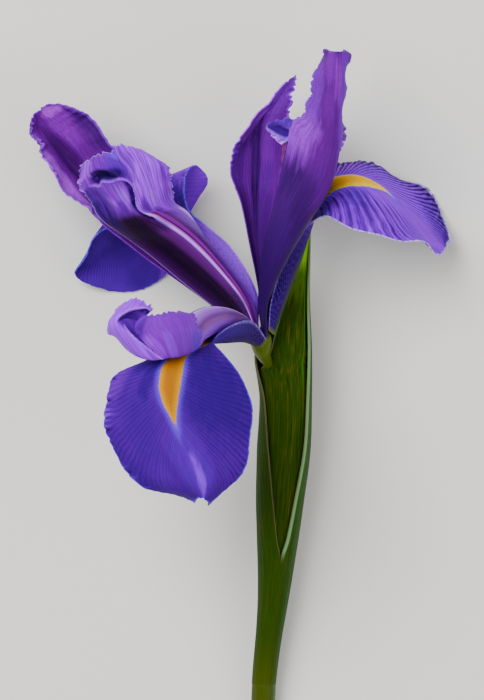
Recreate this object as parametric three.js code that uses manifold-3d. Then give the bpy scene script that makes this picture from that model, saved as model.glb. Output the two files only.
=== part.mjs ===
// A cut Dutch iris: three falls, three standards, three style arms with their stamens,
// the green tube under the flower, its two bracts and the top of the stem.
// It lies on a flat surface at Z = 0, with the flower's tip towards +Y. All lengths are millimetres.
// It rests on three low points: the cut end of the stem, the back fall and the right fall.

import * as THREE from "three";
import { mergeVertices } from "three/addons/utils/BufferGeometryUtils.js";
import Module from "manifold-3d";

const wasm = await Module();
wasm.setup();

// Driving dimensions
const PETAL_THICKNESS = 0.7;
const STYLE_THICKNESS = 0.65;
const BRACT_THICKNESS = 0.65;
const NEIGHBOUR_GAP = 0.3;
const STEM_RADIUS = 3;
const STEM_CORE_RADIUS = 2;
const STEM_CUT_Y = -100;
const SHEATH_FOOT_Y = -83;
const FILAMENT_RADIUS = 0.5;
const ANTHER_RADIUS = 0.85;
const MARGIN_NOTCH = 0.35;
const KEEL_LAP = 0.1; // how far each flap runs past the keel, as a share of its half width

// Facets: rows run from base to tip, columns from margin to margin
const FALL_FACETS = { rows: 27, columns: 10 };
const STANDARD_FACETS = { rows: 22, columns: 8 };
const FLAP_FACETS = { rows: 16, columns: 5 };
const OUTER_BRACT_FACETS = { rows: 18, columns: 12 };
const INNER_BRACT_FACETS = { rows: 18, columns: 8 };
const STEM_FACETS = { sides: 12, rings: 14 };
const TUBE_FACETS = { sides: 12, rings: 18 };
const STAMEN_FACETS = { sides: 8, rings: 9 };

// Waves of the margins: height, number along the margin, and where they start; they grow to
// full height over WAVE_GROWTH of the length, and one margin's run ahead by WAVE_LEAD radians
const FALL_WAVE = { height: 0.7, count: 5, start: 0.35 };
const STANDARD_WAVE = { height: 0.6, count: 6, start: 0.35 };
const CREST_WAVE = { height: 0.7, count: 5, start: 0.6 };
const WAVE_GROWTH = 0.25;
const WAVE_LEAD = 1.3;

// Working values: a Lehmer generator's factor and modulus, halvings in a search, a weld distance
const DRAW_FACTOR = 16807;
const DRAW_MODULUS = 2147483647;
const SEARCH_HALVINGS = 30;
const WELD_DISTANCE = 1e-4;

// Petals: each row is a station on the way from base to tip, and holds a point on the
// left margin, one on the midrib and one on the right margin, seen with the inner face up.
const FALL_FRONT = [
  [[2, 1.8, 33.5], [4.2, 0.8, 34.8], [6.2, 2.5, 35]],
  [[-1.5, 7, 41], [0.8, 1.8, 42], [2.4, 7.2, 44.5]],
  [[-7.5, 6.5, 51], [-4, 1.5, 53], [-2.8, 6.2, 55.5]],
  [[-14.5, 2.5, 61], [-10.2, 0.8, 63], [-7, 2.4, 61.5]],
  [[-24, -2.8, 65], [-15.8, -2, 68.5], [-4.5, -1.2, 64]],
  [[-32.2, -7.2, 65], [-17.5, -7.5, 70], [0.2, -7, 64.5]],
  [[-33.8, -14.5, 65], [-17.5, -13.5, 70], [2.2, -13.5, 65]],
  [[-33, -21.8, 65], [-16.5, -20, 69.5], [2.4, -20.8, 65]],
  [[-29.5, -28.8, 64], [-14.5, -26.8, 69], [0.8, -28.2, 64.5]],
  [[-23, -34.8, 62.5], [-12, -32.8, 67.5], [-2.8, -34, 63.5]],
  [[-15, -37.8, 61], [-9.8, -37, 65.5], [-6.8, -36.8, 63]],
];
const FALL_BACK = [
  [[4, 5, 31], [3.2, 3.5, 29.5], [2, 3.2, 29]],
  [[3.5, 14.5, 30.5], [-0.2, 13.2, 25], [-3.5, 11.2, 26]],
  [[-2.2, 24.8, 28.5], [-7.5, 21.8, 21], [-11, 16.8, 23]],
  [[-9, 31.2, 25], [-14.2, 28.2, 18], [-18.5, 22, 20]],
  [[-13.2, 35.2, 22], [-19.8, 34.5, 16], [-24.8, 28.2, 17]],
  [[-14.5, 43.5, 18], [-25.2, 40, 13], [-32.8, 30.8, 14]],
  [[-11.2, 45.8, 13], [-28.8, 36.8, 8], [-38.8, 25.5, 10]],
  [[-8.6, 42.6, 8], [-29.5, 30, 4], [-42, 19.5, 6]],
  [[-13.5, 33.5, 3.5], [-28.8, 22.5, 1.2], [-38.2, 16.2, 2.5]],
  [[-19.2, 19, 1], [-25.5, 15.2, 0.3], [-32.5, 15, 1]],
];
const FALL_RIGHT = [
  [[6.5, 5, 34.5], [8, 3.8, 31.5], [7.5, 5.2, 29.5]],
  [[7.2, 12.5, 35], [10.5, 11.2, 30.5], [9, 12.5, 27]],
  [[10.2, 21.5, 35], [14, 20.5, 29], [12.5, 22, 25]],
  [[14.5, 28.8, 34], [16.8, 28.2, 29], [16.2, 30.5, 24]],
  [[18, 32.2, 33], [19.2, 35.5, 28], [19, 40, 21]],
  [[21.2, 33.2, 34], [23, 40, 28], [22.2, 46.5, 17]],
  [[26, 31, 35], [28.2, 42.2, 26.5], [27.8, 47.8, 11]],
  [[31.8, 28.8, 35], [33.5, 40.8, 24], [34.4, 46.2, 6]],
  [[38, 27.8, 33], [39, 36.8, 21], [40.9, 43.5, 2]],
  [[43.8, 27, 30], [43.8, 32, 18], [47.3, 39.8, -0.2]],
  [[47.5, 25.5, 25], [47.5, 28.2, 15], [51, 34.6, 2.5]],
  [[49.8, 24, 20.5], [51, 25.2, 14], [52.4, 28.2, 8]],
];
const STANDARD_LEFT = [
  [[2.8, 3, 31.5], [2, 2.5, 32], [1.5, 1.8, 32.3]],
  [[-4, 11.8, 28.5], [-5, 10.8, 28], [-5.8, 9.5, 28.5]],
  [[-11.5, 18.8, 26.5], [-13.5, 17.2, 26], [-14.8, 16.5, 26.5]],
  [[-18.5, 26.5, 24], [-23, 24, 23], [-24, 23, 24]],
  [[-24.2, 36.2, 24], [-31.2, 32, 21], [-33.5, 30.5, 23.5]],
  [[-28.5, 44.5, 24], [-38, 39.8, 20.5], [-41.4, 37.4, 24.5]],
  [[-32.2, 50.8, 23.5], [-43, 46, 20.5], [-47.4, 43.6, 25.5]],
  [[-37.2, 57.5, 23], [-47.2, 51.5, 21], [-50, 49.5, 25]],
  [[-42.5, 61, 23], [-50.5, 55.8, 21.5], [-52.2, 53.2, 24]],
  [[-48.5, 61.8, 23], [-52, 59.5, 22.5], [-53.2, 56.5, 23.5]],
];
const STANDARD_FRONT = [
  [[5.2, 3.8, 34], [5.8, 3.2, 34.6], [6.2, 3.5, 34]],
  [[4.5, 12.5, 36.5], [5.5, 12.5, 37.6], [6.5, 11.8, 37]],
  [[6, 25, 38], [8.8, 22, 40], [11, 22, 38.5]],
  [[8.5, 36.2, 38.5], [13.8, 32, 42], [16.2, 31, 39]],
  [[11.2, 48, 38.5], [19.5, 40.5, 43], [20.8, 39.5, 40.5]],
  [[12.6, 57.6, 38], [22, 48.8, 43], [23.8, 49, 40]],
  [[15.4, 59.4, 37.8], [22.8, 55, 42.8], [24.6, 55.5, 39.5]],
  [[16.4, 63.5, 37.5], [23.3, 61, 42.5], [25.2, 61.5, 39]],
  [[18, 68.4, 37.5], [23.8, 67.5, 42], [25.8, 67, 39]],
  [[19.8, 73.5, 38], [23.8, 73.5, 41.5], [26.8, 72.5, 39]],
  [[21.2, 74.8, 38.5], [23.7, 74.2, 41], [25.8, 75.2, 39.5]],
];
const STANDARD_BACK = [
  [[6.5, 4.5, 29], [6, 4.2, 29.5], [5.2, 4.2, 29.3]],
  [[5.8, 15, 27.5], [5, 15, 26.6], [4.2, 15, 27]],
  [[5.8, 26.2, 26.5], [4, 26.2, 23], [2, 26.2, 25]],
  [[8.2, 36.2, 26.5], [3.5, 36.2, 20.5], [-0.2, 36.8, 24]],
  [[10.5, 46.2, 26.5], [3.5, 45, 18.5], [-3.2, 45.5, 22.5]],
  [[11.8, 55, 26], [4, 53, 18], [-1.6, 52, 22]],
  [[12.2, 60.5, 25], [5.5, 58.8, 18.5], [3.2, 58.6, 22]],
  [[13, 65, 24.5], [8.8, 63.8, 20], [7.4, 63.2, 22.5]],
  [[13.5, 69.2, 23.5], [12.5, 68.2, 21.5], [11.2, 67.8, 22.5]],
];

// Style arms: each is a roof of two flaps that share a keel and part at the crest.
// A station holds a point on the keel, one half way down the flap and one on its outer margin.
const STYLE_FRONT = {
  near: [
    [[4.2, 4.8, 33.6], [4.8, 4.2, 34.4], [5, 3.8, 34.8]],
    [[0.2, 8.6, 43], [1.2, 7.5, 43.8], [1.5, 5.5, 43]],
    [[-5.2, 10.5, 53], [-4, 8.8, 54.5], [-4.2, 5, 53.5]],
    [[-10.8, 9.7, 61.5], [-8.8, 7, 63], [-8.8, 3, 62]],
    [[-15.5, 5.5, 68.5], [-11.5, 3, 68.5], [-10, 1.5, 65.5]],
    [[-18.8, -1.8, 73], [-14.5, -1.2, 72.5], [-10.5, 1.2, 68]],
    [[-21.8, 1.2, 76], [-16, 3.8, 77.5], [-9.8, 4.5, 72]],
    [[-25.5, 5, 76.5], [-17.5, 7.5, 78.5], [-11.3, 7.2, 73.5]],
    [[-23, 8.6, 75.5], [-18.6, 9.3, 77.5], [-13.8, 9.9, 73]],
  ],
  far: [
    [[4.2, 4.8, 33.6], [3.8, 4.5, 33.2], [3.5, 4, 32.8]],
    [[0.2, 8.6, 43], [-1, 8, 41], [-1.2, 5.8, 39.5]],
    [[-5.2, 10.5, 53], [-7.5, 9, 51.5], [-8.5, 5, 49]],
    [[-10.8, 9.7, 61.5], [-14.5, 7.5, 62], [-16.5, 2.5, 59]],
    [[-15.5, 5.5, 68.5], [-20.5, 3, 68.5], [-23.8, 0, 66]],
    [[-18.8, -1.8, 73], [-23.5, -2.2, 72], [-28, 0, 68]],
    [[-22, 1.4, 74.2], [-28.6, 2.3, 75], [-31.4, 3.4, 70]],
    [[-25, 6, 74], [-31.4, 7.4, 76], [-32.8, 5.6, 71.5]],
    [[-22, 11, 76], [-26.6, 12.6, 74], [-31.2, 9.3, 71]],
  ],
};
const STYLE_BACK = {
  near: [
    [[3.5, 5.5, 33.2], [2.8, 5, 33], [2.2, 4.2, 32.6]],
    [[0.2, 13.5, 37.5], [-2.8, 12, 34.5], [-5.8, 9.8, 31.8]],
    [[-6.8, 22.5, 38], [-11, 19.5, 34], [-15.5, 17.5, 31]],
    [[-13.5, 29.2, 38], [-18.8, 25.8, 33], [-24, 24.5, 30]],
    [[-20.5, 33.8, 38], [-26, 30.5, 33.5], [-31.2, 29.8, 29]],
    [[-25.2, 35.2, 38], [-29.5, 35.5, 34.5], [-35.5, 33, 28.5]],
    [[-26, 40.2, 37.4], [-33, 40.5, 33.5], [-38.8, 38.2, 28]],
    [[-28.2, 45.2, 37.4], [-36, 45, 35.5], [-41, 42.5, 30]],
    [[-31.5, 50.4, 36.6], [-36.8, 48.5, 36.5], [-40.2, 46, 32.5]],
  ],
  far: [
    [[3.5, 5.5, 33.2], [4, 5.8, 32.8], [4.2, 5.2, 32]],
    [[0.2, 13.5, 37.5], [2, 12.8, 36], [2.8, 11.5, 33.5]],
    [[-6.8, 22.5, 38], [-3.8, 20.8, 35.5], [-2.5, 18.8, 31.5]],
    [[-13.5, 29.2, 38], [-10, 28.5, 34.5], [-8, 26, 29.5]],
    [[-20.5, 33.8, 38], [-16.5, 34, 34.5], [-13.2, 34, 28.5]],
    [[-25, 35.2, 38.5], [-20.5, 36, 38], [-16.8, 36.8, 31]],
    [[-26.2, 40, 39.5], [-22.5, 42, 42], [-17.2, 40, 35]],
    [[-28.5, 45.5, 40], [-24, 47.5, 43.5], [-17.8, 43.8, 37.5]],
    [[-31.8, 51.8, 39.5], [-26.8, 50.5, 42.5], [-21.2, 48, 39]],
  ],
};
const STYLE_RIGHT = {
  near: [
    [[4.8, 5.8, 33.8], [5.5, 5.5, 34.2], [6, 5, 34]],
    [[5.5, 13.8, 32.5], [6.4, 13, 33.6], [7.5, 11.8, 32.3]],
    [[7, 25, 32], [8.8, 23.5, 33.4], [10.5, 21.2, 32]],
    [[8.2, 33.8, 32], [11, 31.8, 33.8], [13.5, 29.2, 31.8]],
    [[9.8, 41.8, 32.5], [13.5, 39.2, 34.6], [17, 35.5, 32.5]],
    [[11.5, 48.8, 33], [16.2, 46.2, 35], [20.8, 40.5, 33]],
    [[12, 52.5, 32.5], [15, 52.5, 34.5], [20, 47.5, 34.5]],
    [[11.5, 55.5, 32], [10.5, 56, 34.6], [15.6, 53.6, 35]],
    [[12.8, 58, 31], [5.8, 56.4, 33], [9.8, 51.4, 33.8]],
  ],
  far: [
    [[4.8, 5.8, 33.8], [5.5, 6.2, 33], [6, 6, 32.2]],
    [[5.5, 13.8, 32.5], [6.8, 14, 30.4], [8.2, 12.5, 29]],
    [[7, 25, 32], [9.5, 25, 29], [11.8, 22, 27.5]],
    [[8.2, 33.8, 32], [12, 33.8, 28.2], [15, 30, 27]],
    [[9.8, 41.8, 32.5], [14.5, 42, 27.5], [17.2, 38, 26]],
    [[11.5, 48.8, 33], [18, 48.6, 27.5], [22.2, 45, 25]],
    [[12.5, 52.5, 32.5], [19.5, 53, 28.5], [24.8, 50, 26]],
    [[14.5, 55.5, 32.5], [20.8, 57, 30.5], [26.2, 54, 28.5]],
    [[15.8, 58, 32.5], [20.8, 59.5, 31.5], [24.8, 58.8, 30]],
  ],
};

// Stamens: the way of each filament under its style arm; the anther is the last third
const STAMEN_FRONT = [[4.3, 2.9, 34.4], [0.6, 5.2, 42.4], [-5, 5.6, 53.1], [-10.4, 4.8, 60]];
const STAMEN_BACK = [[3, 4.4, 30.9], [-1, 12.4, 30.3], [-7.6, 20.8, 29], [-13, 26.8, 28]];
const STAMEN_RIGHT = [[6.8, 5.2, 32.2], [8.4, 12, 31], [11.6, 21.4, 30], [14.4, 28, 29.4]];

// The line of stem and bracts: y, x and height of the centre
const STALK_LINE = [
  [STEM_CUT_Y, 4.9, 2.9],
  [SHEATH_FOOT_Y, 5.6, 5.8],
  [-62.5, 7.9, 9.3],
  [-47.5, 9, 11.8],
  [-37.5, 9.6, 13.5],
  [-25, 10.5, 15.6],
  [-12, 11, 17.6],
  [0, 10.4, 18.4],
  [12.5, 12, 18.8],
  [22.5, 14.4, 18.6],
  [29.5, 16.8, 18.2],
];

// Outer bract: y, half width, half depth, and the angles of its left and right margins,
// from +X over the front (90) to the left (180) and on round the back
const OUTER_BRACT = [
  [SHEATH_FOOT_Y, 2.95, 2.95, 78, 436],
  [-72.5, 3.35, 3.35, 78, 436],
  [-62.5, 3.95, 3.8, 78, 436],
  [-53, 4.75, 4.3, 78, 436],
  [-47.5, 5.25, 4.6, 92, 424],
  [-37.5, 6.1, 5, 108, 412],
  [-25, 6.75, 5.4, 126, 400],
  [-12, 6.6, 5.4, 148, 394],
  [0, 7.2, 5.2, 178, 386],
  [12.5, 5.1, 3.8, 196, 384],
  [22.5, 2.8, 2, 200, 384],
  [29.5, 0.5, 0.6, 210, 380],
];

// Inner bract: y, half width, half depth, and the angles of its right and left margins
const INNER_BRACT = [
  [-56, 3.55, 3.15, -25, 205],
  [-47.5, 4.15, 3.5, -20, 200],
  [-37.5, 5, 3.9, -15, 196],
  [-25, 5.65, 4.3, -8, 192],
  [-12, 5.6, 4.4, -4, 188],
  [-6, 5.8, 4.4, -2, 184],
  [-3.5, 5.9, 4.4, 0, 132],
  [0, 6, 4.4, 0, 122],
  [6, 5.2, 4, 0, 117],
  [12.5, 4.1, 3.1, 0, 118],
  [22.5, 2, 1.5, 0, 124],
  [28.5, 0.5, 0.7, 10, 140],
];

// Stem: y and radius; a shoulder at the sheath's foot, and a core inside the bracts
const STEM_KNOTS = [
  [STEM_CUT_Y, STEM_RADIUS],
  [-92, STEM_RADIUS],
  [SHEATH_FOOT_Y - 1.2, STEM_RADIUS],
  [SHEATH_FOOT_Y - 0.4, STEM_CORE_RADIUS],
  [-70, STEM_CORE_RADIUS],
  [-50, STEM_CORE_RADIUS],
  [-36, STEM_CORE_RADIUS],
  [-22.2, STEM_CORE_RADIUS],
];

// Ovary and tube: x, y, height and radius, from inside the bracts to the flare under the petals
const TUBE = [
  [10.8, -21.6, 16.1, 1.9],
  [10.7, -18, 16.5, 2.4],
  [10.2, -12, 17.1, 2.4],
  [9, -7.6, 17.6, 1.9],
  [7.6, -5, 19, 1.4],
  [6.5, -3.2, 21.4, 1.3],
  [5.7, -1.3, 24.4, 1.4],
  [5.1, 0.2, 27.4, 1.9],
  [4.8, 1.3, 29.4, 2.7],
  [4.7, 1.9, 30.4, 3.2],
];

// A small repeatable draw between -1 and 1
function drawer(seed) {
  let state = seed;
  return () => {
    state = (state * DRAW_FACTOR) % DRAW_MODULUS;
    return (state / DRAW_MODULUS) * 2 - 1;
  };
}

function curveThrough(points) {
  const knots = points.map((p) => new THREE.Vector3(...p));
  return new THREE.CatmullRomCurve3(knots, false, "catmullrom", 0.5);
}

// The value of a table's columns at y, with a smooth run between its rows
function tableAt(table) {
  const columns = table[0].length - 1;
  const curves = [];
  for (let c = 1; c <= columns; c += 1) {
    curves.push(curveThrough(table.map((row) => [row[0], row[c], 0])));
  }
  return (t) => [curves[0].getPoint(t).x, ...curves.map((curve) => curve.getPoint(t).y)];
}

// Middle surface of a petal or flap: three ribs, and a parabola across them at each row
function petalGrid(stations, { rows, columns }, wave, seed, from) {
  const ribs = [0, 1, 2].map((k) => curveThrough(stations.map((station) => station[k])));
  const draw = drawer(seed);
  const grid = [];
  for (let i = 0; i <= rows; i += 1) {
    const t = i / rows;
    const [left, middle, right] = ribs.map((rib) => rib.getPoint(t));
    const slope = right.clone().sub(left).multiplyScalar(0.5);
    const bow = right.clone().add(left).multiplyScalar(0.5).sub(middle);
    const line = [];
    for (let j = 0; j <= columns; j += 1) {
      const v = from + ((1 - from) * j) / columns;
      const point = middle.clone().addScaledVector(slope, v).addScaledVector(bow, v * v);
      line.push({ point, t, v });
    }
    grid.push(line);
  }
  const normals = gridNormals(grid.map((line) => line.map(({ point }) => point)));
  return grid.map((line, i) =>
    line.map(({ point, t, v }, j) => {
      const grown = THREE.MathUtils.smoothstep(t, wave.start, wave.start + WAVE_GROWTH);
      const swing = Math.sin(2 * Math.PI * wave.count * t + (v > 0 ? WAVE_LEAD : 0));
      const rise = wave.height * grown * Math.abs(v) ** 3 * swing;
      const moved = point.clone().addScaledVector(normals[i][j], rise);
      if (j > 0 && j < columns) return moved;
      const inward = line[j === 0 ? 1 : columns - 1].point.clone().sub(point).normalize();
      return moved.addScaledVector(inward, MARGIN_NOTCH * grown * draw());
    }),
  );
}

// Middle surface of a bract, wrapped round the stalk's line
function bractGrid(table, { rows, columns }) {
  const at = tableAt(table);
  const line = curveThrough(STALK_LINE.map(([y, x, z]) => [x, y, z]));
  const grid = [];
  for (let i = 0; i <= rows; i += 1) {
    const [y, halfWidth, halfDepth, start, end] = at(i / rows);
    const centre = pointAtY(line, y);
    const ring = [];
    for (let j = 0; j <= columns; j += 1) {
      const angle = THREE.MathUtils.degToRad(start + ((end - start) * j) / columns);
      const x = centre.x + (halfWidth - BRACT_THICKNESS / 2) * Math.cos(angle);
      const z = centre.z + (halfDepth - BRACT_THICKNESS / 2) * Math.sin(angle);
      ring.push(new THREE.Vector3(x, y, z));
    }
    grid.push(ring);
  }
  return grid;
}

function pointAtY(line, y) {
  let low = 0;
  let high = 1;
  for (let step = 0; step < SEARCH_HALVINGS; step += 1) {
    const half = (low + high) / 2;
    if (line.getPoint(half).y < y) low = half;
    else high = half;
  }
  return line.getPoint(low);
}

function gridNormals(grid) {
  const rows = grid.length - 1;
  const columns = grid[0].length - 1;
  return grid.map((line, i) =>
    line.map((point, j) => {
      const along = grid[Math.min(i + 1, rows)][j].clone().sub(grid[Math.max(i - 1, 0)][j]);
      const across = line[Math.min(j + 1, columns)].clone().sub(line[Math.max(j - 1, 0)]);
      return along.cross(across).normalize();
    }),
  );
}

// Margins moved out by a length, in the sheet's own surface
function widened(grid, reach) {
  const rows = grid.length - 1;
  const columns = grid[0].length - 1;
  const out = grid.map((line) => line.map((point) => point.clone()));
  const push = (point, inner) => point.addScaledVector(point.clone().sub(inner).normalize(), reach);
  for (let i = 0; i <= rows; i += 1) {
    push(out[i][0], grid[i][1]);
    push(out[i][columns], grid[i][columns - 1]);
  }
  for (let j = 0; j <= columns; j += 1) {
    push(out[0][j], grid[1][j]);
    push(out[rows][j], grid[rows - 1][j]);
  }
  return out;
}

// A closed sheet of even thickness round a middle surface, cut alike on both faces
function sheetSolid(grid, thickness) {
  const normals = gridNormals(grid);
  const rows = grid.length - 1;
  const columns = grid[0].length - 1;
  const wide = columns + 1;
  const face = (rows + 1) * wide;
  const points = [];
  [0.5, -0.5].forEach((side) => {
    grid.forEach((line, i) => {
      line.forEach((point, j) => {
        const corner = point.clone().addScaledVector(normals[i][j], side * thickness);
        corner.z = Math.max(corner.z, 0);
        points.push(corner);
      });
    });
  });
  const triangles = [];
  const quad = (a, b, c, d) => triangles.push([a, b, c], [a, c, d]);
  for (let i = 0; i < rows; i += 1) {
    for (let j = 0; j < columns; j += 1) {
      const a = i * wide + j;
      quad(a, a + wide, a + wide + 1, a + 1);
      quad(a + face, a + face + 1, a + face + wide + 1, a + face + wide);
    }
  }
  for (let i = 0; i < rows; i += 1) {
    const a = i * wide;
    const b = a + columns;
    quad(a, a + face, a + face + wide, a + wide);
    quad(b, b + wide, b + face + wide, b + face);
  }
  for (let j = 0; j < columns; j += 1) {
    const b = rows * wide + j;
    quad(j, j + 1, j + face + 1, j + face);
    quad(b, b + face, b + face + 1, b + 1);
  }
  return solidFrom(points, triangles);
}

// A closed rod with a radius at each knot; its rings stand square to its way
function rodSolid(knots, { sides, rings }, grow) {
  const way = curveThrough(knots.map(([x, y, z]) => [x, y, z]));
  const girth = curveThrough(knots.map((knot) => [knot[3], 0, 0]));
  const points = [];
  for (let i = 0; i <= rings; i += 1) {
    const t = i / rings;
    const along = way.getTangent(t);
    const side = new THREE.Vector3(1, 0, 0).addScaledVector(along, -along.x).normalize();
    const up = side.clone().cross(along).normalize();
    const ends = i === 0 ? -grow : i === rings ? grow : 0;
    const centre = way.getPoint(t).addScaledVector(along, ends);
    const radius = girth.getPoint(t).x + grow;
    for (let k = 0; k < sides; k += 1) {
      const angle = (2 * Math.PI * k) / sides;
      const corner = centre
        .clone()
        .addScaledVector(side, radius * Math.cos(angle))
        .addScaledVector(up, radius * Math.sin(angle));
      corner.z = Math.max(corner.z, 0);
      points.push(corner);
    }
  }
  const triangles = [];
  for (let i = 0; i < rings; i += 1) {
    for (let k = 0; k < sides; k += 1) {
      const a = i * sides + k;
      const b = i * sides + ((k + 1) % sides);
      triangles.push([a, b + sides, b], [a, a + sides, b + sides]);
    }
  }
  const last = rings * sides;
  for (let k = 1; k < sides - 1; k += 1) {
    triangles.push([0, k, k + 1], [last, last + k + 1, last + k]);
  }
  return solidFrom(points, triangles);
}

function solidFrom(points, triangles) {
  const geometry = new THREE.BufferGeometry().setFromPoints(points);
  geometry.setIndex(triangles.flat());
  const merged = mergeVertices(geometry, WELD_DISTANCE);
  return new wasm.Manifold(
    new wasm.Mesh({
      numProp: 3,
      vertProperties: merged.attributes.position.array,
      triVerts: new Uint32Array(merged.index.array),
    }),
  );
}

function largestBody(solid) {
  return solid.decompose().reduce((best, body) => (body.volume() > best.volume() ? body : best));
}

function geometryOf(solid) {
  const mesh = solid.getMesh();
  const positions = new Float32Array(mesh.numVert * 3);
  for (let i = 0; i < mesh.numVert; i += 1) {
    const start = i * mesh.numProp;
    positions.set(mesh.vertProperties.subarray(start, start + 3), i * 3);
  }
  const geometry = new THREE.BufferGeometry();
  geometry.setAttribute("position", new THREE.BufferAttribute(positions, 3));
  geometry.setIndex(new THREE.BufferAttribute(mesh.triVerts, 1));
  geometry.computeVertexNormals();
  return geometry;
}

// Each maker gives the piece itself, or with a gap the room that its neighbours leave it
function petal(stations, facets, wave, seed) {
  const grid = petalGrid(stations, facets, wave, seed, -1);
  return (gap) => sheetSolid(gap ? widened(grid, gap) : grid, PETAL_THICKNESS + 2 * gap);
}

function styleArm({ near, far }) {
  const from = -1 - KEEL_LAP;
  const flaps = [
    petalGrid(near, FLAP_FACETS, CREST_WAVE, 31, from),
    petalGrid(far, FLAP_FACETS, CREST_WAVE, 47, from),
  ];
  return (gap) => {
    const [a, b] = flaps.map((grid) =>
      sheetSolid(gap ? widened(grid, gap) : grid, STYLE_THICKNESS + 2 * gap),
    );
    return a.add(b);
  };
}

function stamen(way) {
  const radii = [FILAMENT_RADIUS, FILAMENT_RADIUS, ANTHER_RADIUS, FILAMENT_RADIUS];
  const knots = way.map((point, i) => [...point, radii[i]]);
  return (gap) => rodSolid(knots, STAMEN_FACETS, gap);
}

function bract(table, facets) {
  const grid = bractGrid(table, facets);
  return (gap) => sheetSolid(gap ? widened(grid, gap) : grid, BRACT_THICKNESS + 2 * gap);
}

function stem() {
  const line = curveThrough(STALK_LINE.map(([y, x, z]) => [x, y, z]));
  const knots = STEM_KNOTS.map(([y, radius]) => [...pointAtY(line, y).toArray(), radius]);
  return (gap) => rodSolid(knots, STEM_FACETS, gap);
}

// Name, colour, roughness and maker; a later piece leaves room for the earlier ones
const PIECES = [
  ["ovary_tube", 0x9ba52f, 0.5, (gap) => rodSolid(TUBE, TUBE_FACETS, gap)],
  ["stem", 0x5f8a2c, 0.45, stem()],
  ["spathe_outer", 0x3f7a26, 0.45, bract(OUTER_BRACT, OUTER_BRACT_FACETS)],
  ["spathe_inner", 0x4d7428, 0.5, bract(INNER_BRACT, INNER_BRACT_FACETS)],
  ["fall_front", 0x4a2fc0, 0.55, petal(FALL_FRONT, FALL_FACETS, FALL_WAVE, 3)],
  ["fall_back", 0x4a30b4, 0.55, petal(FALL_BACK, FALL_FACETS, FALL_WAVE, 5)],
  ["fall_right", 0x5a3cc8, 0.55, petal(FALL_RIGHT, FALL_FACETS, FALL_WAVE, 7)],
  ["standard_left", 0x6a2f9c, 0.5, petal(STANDARD_LEFT, STANDARD_FACETS, STANDARD_WAVE, 11)],
  ["standard_front", 0x6c35b0, 0.5, petal(STANDARD_FRONT, STANDARD_FACETS, STANDARD_WAVE, 13)],
  ["standard_back", 0x5c2c9a, 0.5, petal(STANDARD_BACK, STANDARD_FACETS, STANDARD_WAVE, 17)],
  ["style_front", 0x9a7ad0, 0.5, styleArm(STYLE_FRONT)],
  ["style_back", 0x7a4a9c, 0.5, styleArm(STYLE_BACK)],
  ["style_right", 0x8a5ac0, 0.5, styleArm(STYLE_RIGHT)],
  ["stamen_front", 0xd8c9d8, 0.6, stamen(STAMEN_FRONT)],
  ["stamen_back", 0xd8c9d8, 0.6, stamen(STAMEN_BACK)],
  ["stamen_right", 0xd8c9d8, 0.6, stamen(STAMEN_RIGHT)],
];

const flower = new THREE.Group();
const rooms = [];
PIECES.forEach(([name, colour, roughness, make]) => {
  let solid = make(0);
  rooms.forEach((room) => {
    if (room.intersect(solid).volume() > 0) solid = largestBody(solid.subtract(room));
  });
  rooms.push(make(NEIGHBOUR_GAP));
  const material = new THREE.MeshStandardMaterial({ color: colour, roughness, metalness: 0 });
  const mesh = new THREE.Mesh(geometryOf(solid), material);
  mesh.name = name;
  flower.add(mesh);
});

// The part's origin is the middle of the foot of its box
const box = new THREE.Box3().setFromObject(flower, true);
const middle = box.getCenter(new THREE.Vector3());
flower.position.set(-middle.x, -middle.y, -box.min.z);

const iris = new THREE.Group();
iris.add(flower);

export default iris;
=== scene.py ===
import math
from types import SimpleNamespace

import bpy
import numpy as np
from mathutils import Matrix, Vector


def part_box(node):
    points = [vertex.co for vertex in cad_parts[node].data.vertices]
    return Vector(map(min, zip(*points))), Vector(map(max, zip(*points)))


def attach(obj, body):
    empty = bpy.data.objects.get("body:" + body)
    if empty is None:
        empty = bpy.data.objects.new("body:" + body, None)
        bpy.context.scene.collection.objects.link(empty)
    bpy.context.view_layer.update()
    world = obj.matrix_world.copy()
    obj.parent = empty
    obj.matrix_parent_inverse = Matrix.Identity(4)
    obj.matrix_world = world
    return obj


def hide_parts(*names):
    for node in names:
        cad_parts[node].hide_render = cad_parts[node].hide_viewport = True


bl_info = {
    "name": "Cut iris flower",
    "version": (1, 0, 0),
    "blender": (4, 5, 0),
    "location": "3D View > Sidebar > Iris",
    "description": "Builds a cut iris flower that lies on a surface, petal by petal",
    "category": "Add Mesh",
}

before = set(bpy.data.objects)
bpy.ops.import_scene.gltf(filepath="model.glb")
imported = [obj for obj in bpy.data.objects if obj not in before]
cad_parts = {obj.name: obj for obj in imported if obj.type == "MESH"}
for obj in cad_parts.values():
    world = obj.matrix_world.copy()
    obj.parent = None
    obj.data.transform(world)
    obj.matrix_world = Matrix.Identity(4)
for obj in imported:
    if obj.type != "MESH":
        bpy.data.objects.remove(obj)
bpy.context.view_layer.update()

MM = 0.001
# Lowest corner of the stem on the drawing that the petals' points below are taken from, in mm
STEM_CORNER = (1.9013, -100.5044, 0.0)
DRAWING_SHIFT = np.array(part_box("stem")[0]) / MM - STEM_CORNER

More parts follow.
